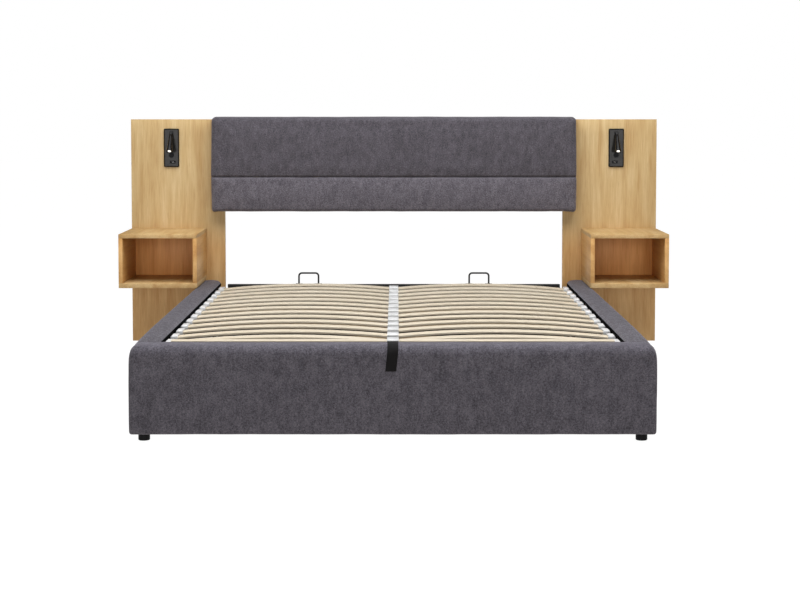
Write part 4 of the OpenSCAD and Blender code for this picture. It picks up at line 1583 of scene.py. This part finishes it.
@dataclass
class ReadingLight:
    """The head, lens and plate trim of one reading light.

    The head's shape is a row of pairs, of distance from the tilt pin and radius. Its tail and its lip are
    given from its start and from its mouth.
    """

    side: Side
    metal: Material
    glow: Material
    # dark matt paint of the plate's rim, painted shade along its edge
    trim: Material
    contact: Material
    x: float = 1.026
    pivot_y: float = 1.018
    pivot_z: float = 1.024
    tilt: float = 35.0
    steps: int = 48
    length: float = 0.104
    start: float = 0.010
    r_top: float = 0.007
    r_mouth: float = 0.014
    wall: float = 0.0016
    tail: tuple[Flat, ...] = (
        (0.0, 0.0008), (0.0, 0.0040), (0.0004, 0.0056), (0.0014, 0.0067), (0.0030, 0.0072))
    cone_short: float = 0.0042
    cone_steps: int = 8
    lip: tuple[Flat, ...] = ((-0.0004, -0.0002), (0.0, -0.0006), (0.0, -0.0013), (-0.0005, -0.0016))
    bezel_shy: float = 0.0002
    bezel_lap: float = 0.0003
    bezel_deep: float = 0.0030
    seat_deep: float = 0.0032
    pole_r: float = 0.0008
    tongue_w: float = 0.008
    tongue_r: float = 0.0035
    tongue_edge: float = 0.0008
    tongue_corner: int = 3
    tongue_sides: tuple[int, ...] = (2, 2, 2, 2)
    tongue_stations: tuple[float, ...] = (-1.0, -0.8, -0.3, 0.0)
    tongue_into: float = 0.0005
    tongue_least: float = 0.02
    lens_r: float = 0.0076
    lens_deep: float = 0.0024
    lens_proud: float = 0.0001
    lens_thick: float = 0.002
    lens_dome: float = 0.0016
    lens_steps: int = 6
    lens_chamfer: float = 0.0008
    lens_back_r: float = 0.0005
    lens_pole_r: float = 0.0004
    rim_rise: float = 0.0007
    rim_side: float = 0.6
    rim_sunk: float = 0.0003
    rim_broad: float = 0.0045
    rim_edge: float = 0.0004
    rim_r: float = 0.005
    rim_corner: int = 6
    rim_sides: tuple[int, ...] = (4, 8, 4, 8)
    port_in: float = 0.006
    port_z: float = 0.889
    port_deep: float = 0.0060
    contact_half: Point = (0.0052, 0.0024, 0.0011)
    contact_edge: float = 0.0003

    def placing(self) -> Matrix:
        """The matrix that stands +Z from the tilt pin along the head."""
        at = Vector((self.side.value * self.x, self.pivot_y, self.pivot_z))
        return Matrix.Translation(at) @ Matrix.Rotation(math.radians(HALF_TURN - self.tilt), 4, "X")

    def turned(self, profile: Sequence[Flat]) -> Skin:
        """A shape turned about the head's length.

        Args:
            profile: Pairs of distance along it and radius.

        Returns:
            Points and faces.
        """
        m = self.placing()
        angles = [math.tau * i / self.steps for i in range(self.steps)]
        rings = [[m @ Vector((r * math.cos(a), r * math.sin(a), s)) for a in angles] for s, r in profile]
        return skin_rings(rings)

    def shell(self) -> Piece:
        """Builds the conical shell with its hollow mouth.

        Returns:
            The piece.
        """
        slope = (self.r_mouth - self.r_top) / (self.length - self.start)
        profile = [(self.start + s, r) for s, r in self.tail]
        cone_start = profile[-1][0]
        for i in range(1, self.cone_steps + 1):
            s = cone_start + (self.length - self.start - self.cone_short) * i / self.cone_steps
            profile.append((s, self.r_top + slope * (s - self.start)))
        profile += [(self.length + s, self.r_mouth + r) for s, r in self.lip]
        bezel, bezel_r = self.length - self.lens_deep, self.lens_r - self.bezel_lap
        profile += [
            (bezel, self.r_mouth - self.wall - self.bezel_shy), (bezel, bezel_r),
            (bezel - self.bezel_deep, bezel_r), (bezel - self.seat_deep, self.pole_r)]
        return new_object("lamp_shell", self.turned(profile), self.metal)

    def tongue(self) -> Piece:
        """Builds the tongue that holds the head on its tilt pin.

        Returns:
            The piece.
        """
        m = self.placing()
        section = rounded_ring(
            (-self.tongue_w / 2, -self.tongue_r), (self.tongue_w / 2, self.tongue_r),
            (self.tongue_edge,) * 4, self.tongue_corner, self.tongue_sides)
        rings = []
        for s in (*(q * self.tongue_r for q in self.tongue_stations), self.start + self.tongue_into):
            k = math.sqrt(max(self.tongue_least, 1.0 - (min(s, 0.0) / self.tongue_r) ** 2))
            rings.append([m @ Vector((a, b * k, s)) for a, b in section])
        return new_object("lamp_tongue", skin_rings(rings), self.metal)

    def head(self) -> Piece:
        """Builds the head: shell and tongue in one. Returns the piece."""
        head = merged(f"lamp_{self.side.word}_shade", [self.shell(), self.tongue()])
        return place(head, f"lamp_{self.side.word}_shade", "lamp_metal", f"lamp_{self.side.word}_head")

    def lens(self) -> Piece:
        """Builds the slightly domed diffuser.

        Returns:
            The piece.
        """
        r = self.lens_r
        face = self.length - self.lens_deep + self.lens_proud
        back = face - self.lens_thick
        profile = [(back, self.lens_back_r), (back, r - self.lens_chamfer), (face - self.lens_proud, r)]
        for i in range(1, self.lens_steps):
            a = QUARTER * i / self.lens_steps
            profile.append((face + self.lens_dome * math.sin(a), r * math.cos(a)))
        profile.append((face + self.lens_dome, self.lens_pole_r))
        piece = new_object(f"lamp_{self.side.word}_diffuser", self.turned(profile), self.glow)
        return place(piece, f"lamp_{self.side.word}_shade", "lamp_lens", f"lamp_{self.side.word}_lens")

    def plate_trim(self) -> Piece:
        """Builds the thin raised rim round the wall plate's face; its darker matt paint is painted shade
        along the plate's edge.

        Returns:
            The piece.
        """
        low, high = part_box(f"lamp_wall_plate_{self.side.word}")
        part_way, broad = self.rim_side * self.rim_rise, self.rim_broad
        section = (
            (0.0, -self.rim_sunk), (0.0, part_way), (self.rim_edge, self.rim_rise),
            (broad - self.rim_edge, self.rim_rise), (broad, part_way), (broad, -self.rim_sunk))
        rings = []
        for inset, up in section:
            ring = rounded_ring(
                (low.x + inset, low.z + inset), (high.x - inset, high.z - inset),
                (self.rim_r - inset,) * 4, self.rim_corner, self.rim_sides)
            rings.append([Vector((x, low.y - up, z)) for x, z in ring])
        piece = new_object(f"lamp_{self.side.word}_plate_rim", skin_rings(rings, capped=False), self.trim)
        return place(piece, "bed_frame", "lamp_plate")

    def port_tongue(self) -> Piece:
        """Builds the pale contact tongue inside the charging port.

        Returns:
            The piece.
        """
        low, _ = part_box("charging_ports")
        middle = Vector((self.side.value * (self.x - self.port_in), low.y + self.port_deep, self.port_z))
        half = Vector(self.contact_half)
        name = f"port_tongue_{self.side.word}"
        piece = bevelled(name, middle - half, middle + half, self.contact_edge, self.contact)
        return place(piece, "bed_frame", "port_plastic")

    def build(self) -> None:
        """Builds the light's pieces."""
        self.port_tongue()
        self.head()
        self.lens()
        self.plate_trim()


# ------------------------------------------------------------------- the studio


@dataclass(frozen=True)
class SoftLight:
    """A rectangular soft light: where it is, what it looks at, its width and height, and its watts."""

    name: str
    at: Point
    towards: Point
    size: Flat
    power: float


@dataclass
class Studio:
    """Pale floor, soft lights and the camera.

    The view's focal length and its horizon, measured downwards from the middle, are in pixels of a frame
    frame_px wide. Its look down is middle_deg, and the lens shift takes a part of that.
    """

    eye: Point = (0.0136, -6.699, 1.1263)
    focal_px: float = 1668.4
    frame_px: float = 800.0
    sensor: float = 36.0
    horizon_px: float = -189.5
    shift_y: float = -0.12
    shift_x: float = 0.004
    middle_deg: float = 5.73
    sight: float = 100.0
    dome_above: float = 0.12
    dome_below: float = 0.62
    dome_edge: Flat = (-0.02, 0.02)
    below_tone: Colour = (1.0, 0.93, 0.84)
    floor_half: float = 30.0
    floor_colour: Colour = (0.1, 0.1, 0.1)
    floor_roughness: float = 0.9
    floor_glow: float = 0.99
    soft_lights: tuple[SoftLight, ...] = (
        SoftLight("top", (0.0, -0.7, 3.1), (0.0, -0.5, 0.0), (4.4, 2.6), 157.0),
        SoftLight("front", (0.0, -9.0, 1.4), (0.0, 0.0, 0.7), (6.0, 2.4), 178.0))
    niche_x: float = 1.045
    niche_y: float = 1.0
    niche_z: float = 0.465
    spot_y: float = -6.0
    spot_z: float = 0.60
    spot_power: float = 172.0
    spot_deg: float = 3.2
    spot_blend: float = 0.6
    spot_size: float = 0.12

    def camera(self) -> None:
        """Makes the camera: most of the photograph's look down is pitch, the rest is shift."""
        data = bpy.data.cameras.new("camera")
        lean = math.radians(self.middle_deg)
        row = self.horizon_px + self.focal_px * math.tan(lean)
        shifted = row - self.shift_y * self.frame_px
        pitch = lean - math.atan(shifted / self.focal_px)
        reach = math.cos(pitch) + math.tan(lean) * math.sin(pitch)
        data.sensor_width = self.sensor
        data.lens = self.focal_px * reach / self.frame_px * self.sensor
        data.shift_x, data.shift_y = self.shift_x, self.shift_y
        data.clip_end = self.sight
        camera = bpy.data.objects.new("camera", data)
        camera.location = self.eye
        camera.rotation_euler = (QUARTER - pitch, 0.0, 0.0)
        bpy.context.scene.collection.objects.link(camera)
        bpy.context.scene.camera = camera
        LOG.info("camera pitch %.2f degrees, lens %.2f mm", math.degrees(pitch), data.lens)

    def floor(self) -> None:
        """Makes the floor, a wide pale sheet. Its light on the bed comes from the world's lower half."""
        g = Graph("studio_floor")
        g.constant(Base_Color=self.floor_colour, Roughness=self.floor_roughness, Specular_IOR_Level=0.0)
        g.constant(Emission_Color=WHITE, Emission_Strength=self.floor_glow)
        ends = (-self.floor_half, self.floor_half)
        points = [Vector((x, y, 0.0)) for x in ends for y in ends]
        floor = new_object("floor", (points, [[0, 2, 3, 1]]), g.material)
        if floor.data.polygons[0].normal.z < 0:
            floor.data.flip_normals()
        floor.visible_diffuse = False

    def aimed(self, name: str, data: bpy.types.Light, at: Point, towards: Point) -> None:
        """Puts a light into the scene and turns it to what it looks at.

        Args:
            name: Its name.
            data: The light.
            at: Where it is.
            towards: What it looks at.
        """
        light = bpy.data.objects.new(name, data)
        light.location = at
        light.rotation_euler = (Vector(towards) - Vector(at)).to_track_quat("-Z", "Y").to_euler()
        bpy.context.scene.collection.objects.link(light)

    def lamp(self, soft: SoftLight) -> None:
        """Adds one rectangular soft light.

        Args:
            soft: Its place, size and power.
        """
        data = bpy.data.lights.new(soft.name, "AREA")
        data.shape = "RECTANGLE"
        data.size, data.size_y = soft.size
        data.energy = soft.power
        self.aimed(soft.name, data, soft.at, soft.towards)

    def spot(self, side: Side) -> None:
        """Adds one narrow soft light for the inside of a nightstand.

        Args:
            side: Which nightstand.
        """
        name = f"niche_{side.word}"
        data = bpy.data.lights.new(name, "SPOT")
        data.spot_size = math.radians(self.spot_deg)
        data.spot_blend = self.spot_blend
        data.shadow_soft_size = self.spot_size
        data.energy = self.spot_power
        x = side.value * self.niche_x
        self.aimed(name, data, (x, self.spot_y, self.spot_z), (x, self.niche_y, self.niche_z))

    def world(self) -> None:
        """Makes the world: white where it is seen, and a soft dome of two strengths for everything else."""
        world = bpy.data.worlds.new("studio_world")
        world.use_nodes = True
        make, join = world.node_tree.nodes.new, world.node_tree.links.new
        back = world.node_tree.nodes["Background"]
        camera_ray = make("ShaderNodeLightPath").outputs["Is Camera Ray"]
        tones = make("ShaderNodeMix")
        tones.data_type = "RGBA"
        tones.inputs[MIX_A].default_value = (*self.below_tone, 1.0)
        tones.inputs[MIX_B].default_value = (*WHITE, 1.0)
        join(camera_ray, tones.inputs[MIX_FAC])
        join(tones.outputs[MIX_RESULT], back.inputs["Color"])
        split = make("ShaderNodeSeparateXYZ")
        join(make("ShaderNodeTexCoord").outputs["Generated"], split.inputs["Vector"])
        dome = make("ShaderNodeMapRange")
        ranges = (*self.dome_edge, self.dome_below, self.dome_above)
        for key, value in zip(("From Min", "From Max", "To Min", "To Max"), ranges):
            dome.inputs[key].default_value = value
        join(split.outputs["Z"], dome.inputs["Value"])
        seen = make("ShaderNodeMath")
        seen.operation = "MAXIMUM"
        join(camera_ray, seen.inputs[0])
        join(dome.outputs["Result"], seen.inputs[1])
        join(seen.outputs["Value"], back.inputs["Strength"])
        bpy.context.scene.world = world

    def build(self) -> None:
        """Makes camera, floor, world and lights."""
        self.camera()
        self.floor()
        self.world()
        for soft in self.soft_lights:
            self.lamp(soft)
        for side in Side:
            self.spot(side)
        bpy.context.scene.view_settings.view_transform = "Standard"


# --------------------------------------------------------------- the whole bed


class Finishes:
    """All finishes of the bed, made once."""

    pine_light: Colour = (0.66, 0.50, 0.31)
    pine_dark: Colour = (0.50, 0.34, 0.18)
    birch_light: Colour = (0.76, 0.68, 0.55)
    birch_dark: Colour = (0.66, 0.57, 0.43)
    # painted shade on the wall panels' lower part, under the nightstands
    low_oak: Colour = (1.04, 0.88, 0.75)
    across_bed: tuple[str, ...] = ("foot_rail_core", "head_end_board", "rear_cross_rails", "headboard_board")

    def __init__(self) -> None:
        """Makes every material."""
        # Each cut's tint is painted light and shade: the foot rail and lower pad lighter, the side rails and
        # upper pad darker.
        self.cloth = Upholstery("cloth_side_rails", (0.80, 0.82, 0.81), contrast=2.2, stretch=0.45).make()
        self.cloth_foot = Upholstery("cloth_foot_rail", (1.04, 1.06, 1.09)).make()
        self.cloth_upper = Upholstery("cloth_upper_pad", (0.81, 0.81, 0.82), contrast=0.9).make()
        self.cloth_lower = Upholstery("cloth_lower_pad", (1.12, 1.12, 1.13), contrast=0.95).make()
        self.oak_up = self.oak("upright", Axis.Z, offset=3.1, tint=(1.03, 1.10, 1.20), low_tint=self.low_oak)
        self.oak_along = self.oak("along", Axis.Y, offset=7.4, tint=(0.99, 0.98, 0.97))
        # Painted light: the side cut's warm tint stands in for light on the nightstands' sides.
        self.oak_side = self.oak("side", Axis.Y, offset=5.2, tint=(1.15, 0.98, 0.80))
        # Painted shade: the back cut's warm tint stands in for the shade inside the niches.
        self.oak_back = self.oak("back", Axis.Z, offset=8.3, tint=(1.30, 0.90, 0.62))
        self.pine = PaleWood("frame_softwood", Axis.Y, self.pine_light, self.pine_dark).make()
        self.pine_across = PaleWood("frame_softwood_across", Axis.X, self.pine_light, self.pine_dark).make()
        self.birch = PaleWood("birch_slats", Axis.X, self.birch_light, self.birch_dark, rough=0.42).make()
        self.board = Coating("faced_board", (0.200, 0.150, 0.105), rough=0.6).make()
        self.black = Coating("black_powder_coat", (0.012, 0.012, 0.013), rough=0.42, gloss=0.3).make()
        self.plated = Coating("zinc_plate", (0.52, 0.54, 0.57), rough=0.34, metal=1.0).make()
        self.plate = Coating("lamp_plate_paint", (0.016, 0.015, 0.014), rough=0.12, gloss=0.16).make()
        self.lamp = Coating("lamp_black_paint", (0.005, 0.005, 0.006), rough=0.2, gloss=0.2).make()
        # Painted shade: the rim's darker, warm matt black stands in for the shade along the plate's edge.
        self.rim = Coating("lamp_rim_paint", (0.006, 0.0052, 0.0045), rough=0.5, gloss=0.04).make()
        self.gloss = Coating("gloss_black_plastic", (0.006, 0.006, 0.007), rough=0.3, gloss=0.08).make()
        self.matt = Coating(
            "matt_black_plastic", (0.008, 0.008, 0.009), rough=0.55, relief=0.0001, gloss=0.1).make()
        self.white = Coating("white_holder_plastic", (0.72, 0.73, 0.74), rough=0.35).make()
        self.lining = Coating(
            "black_lining_felt", (0.007, 0.007, 0.008), rough=0.9, relief=0.0003, gloss=0.02).make()
        self.webbing = Webbing().make()
        self.glow = Glow().make()

    def oak(
            self, cut: str, grain: Axis, offset: float, tint: Colour,
            low_tint: Colour | None = None) -> dict[Side, Material]:
        """Makes one cut of oak for each side of the bed, its figure moved from one to the other.

        Args:
            cut: Its name.
            grain: The axis of its grain.
            offset: Where its figure is taken from.
            tint: Its tint; for the nightstands' sides and backs, painted light or shade.
            low_tint: Painted shade on its lower part.

        Returns:
            The material of each side.
        """
        made = {}
        for side in Side:
            name = f"oak_{cut}_{side.word}"
            made[side] = Oak(name, grain, offset + side.value, tint, low_tint).make()
        return made

    def for_slot(self, slot: str, node: str) -> Material:
        """The finish of a CAD node that stays.

        Args:
            slot: The record's material slot.
            node: The node's name.

        Returns:
            The material.
        """
        return {
            "upholstery": self.cloth, "oak": self.oak_up[Side.RIGHT],
            "frame_wood": self.pine_across if node in self.across_bed else self.pine,
            "floor_board": self.board, "birch": self.birch,
            "black_steel": self.black, "plated_steel": self.plated,
            "lamp_plate": self.plate, "lamp_metal": self.lamp, "lamp_lens": self.glow,
            "port_plastic": self.gloss, "box_plastic": self.matt, "holder_plastic": self.white,
            "foot_plastic": self.matt, "strap_webbing": self.webbing}[slot]


def dress_nodes(frame: dict, finishes: Finishes) -> None:
    """Gives every CAD node its finish.

    Args:
        finishes: The materials.
    """
    slots = {part["node"]: part["material_slot"] for part in frame["record"]["subparts"]}
    for name, node in frame["nodes"].items():
        material = finishes.for_slot(slots[name], name)
        if not node.material_slots:
            node.data.materials.append(material)
        for holder in node.material_slots:
            holder.material = material
        LOG.info("%s dressed in %s", name, material.name)


def main() -> None:
    """Builds the whole scene."""
    logging.basicConfig(level=logging.INFO, format="%(message)s")
    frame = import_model()
    Studio().build()
    finishes = Finishes()
    dress_nodes(frame, finishes)
    box = BedBox(finishes.cloth, finishes.cloth_foot)
    box.foot_rail()
    platform = Platform(finishes.birch, finishes.white)
    for side in Side:
        box.side_rail(side)
        box.lining(side, finishes.lining)
        WallPanel(side, finishes.oak_up[side]).build()
        Nightstand(
            side, finishes.oak_along[side], finishes.oak_side[side], finishes.oak_back[side]).build()
        ReadingLight(side, finishes.lamp, finishes.glow, finishes.rim, finishes.white).build()
        platform.slats(side)
    platform.holders()
    Headboard(finishes.cloth_upper, finishes.cloth_lower).build()
    PullStrap(finishes.webbing).build()


if __name__ == "__main__":
    main()
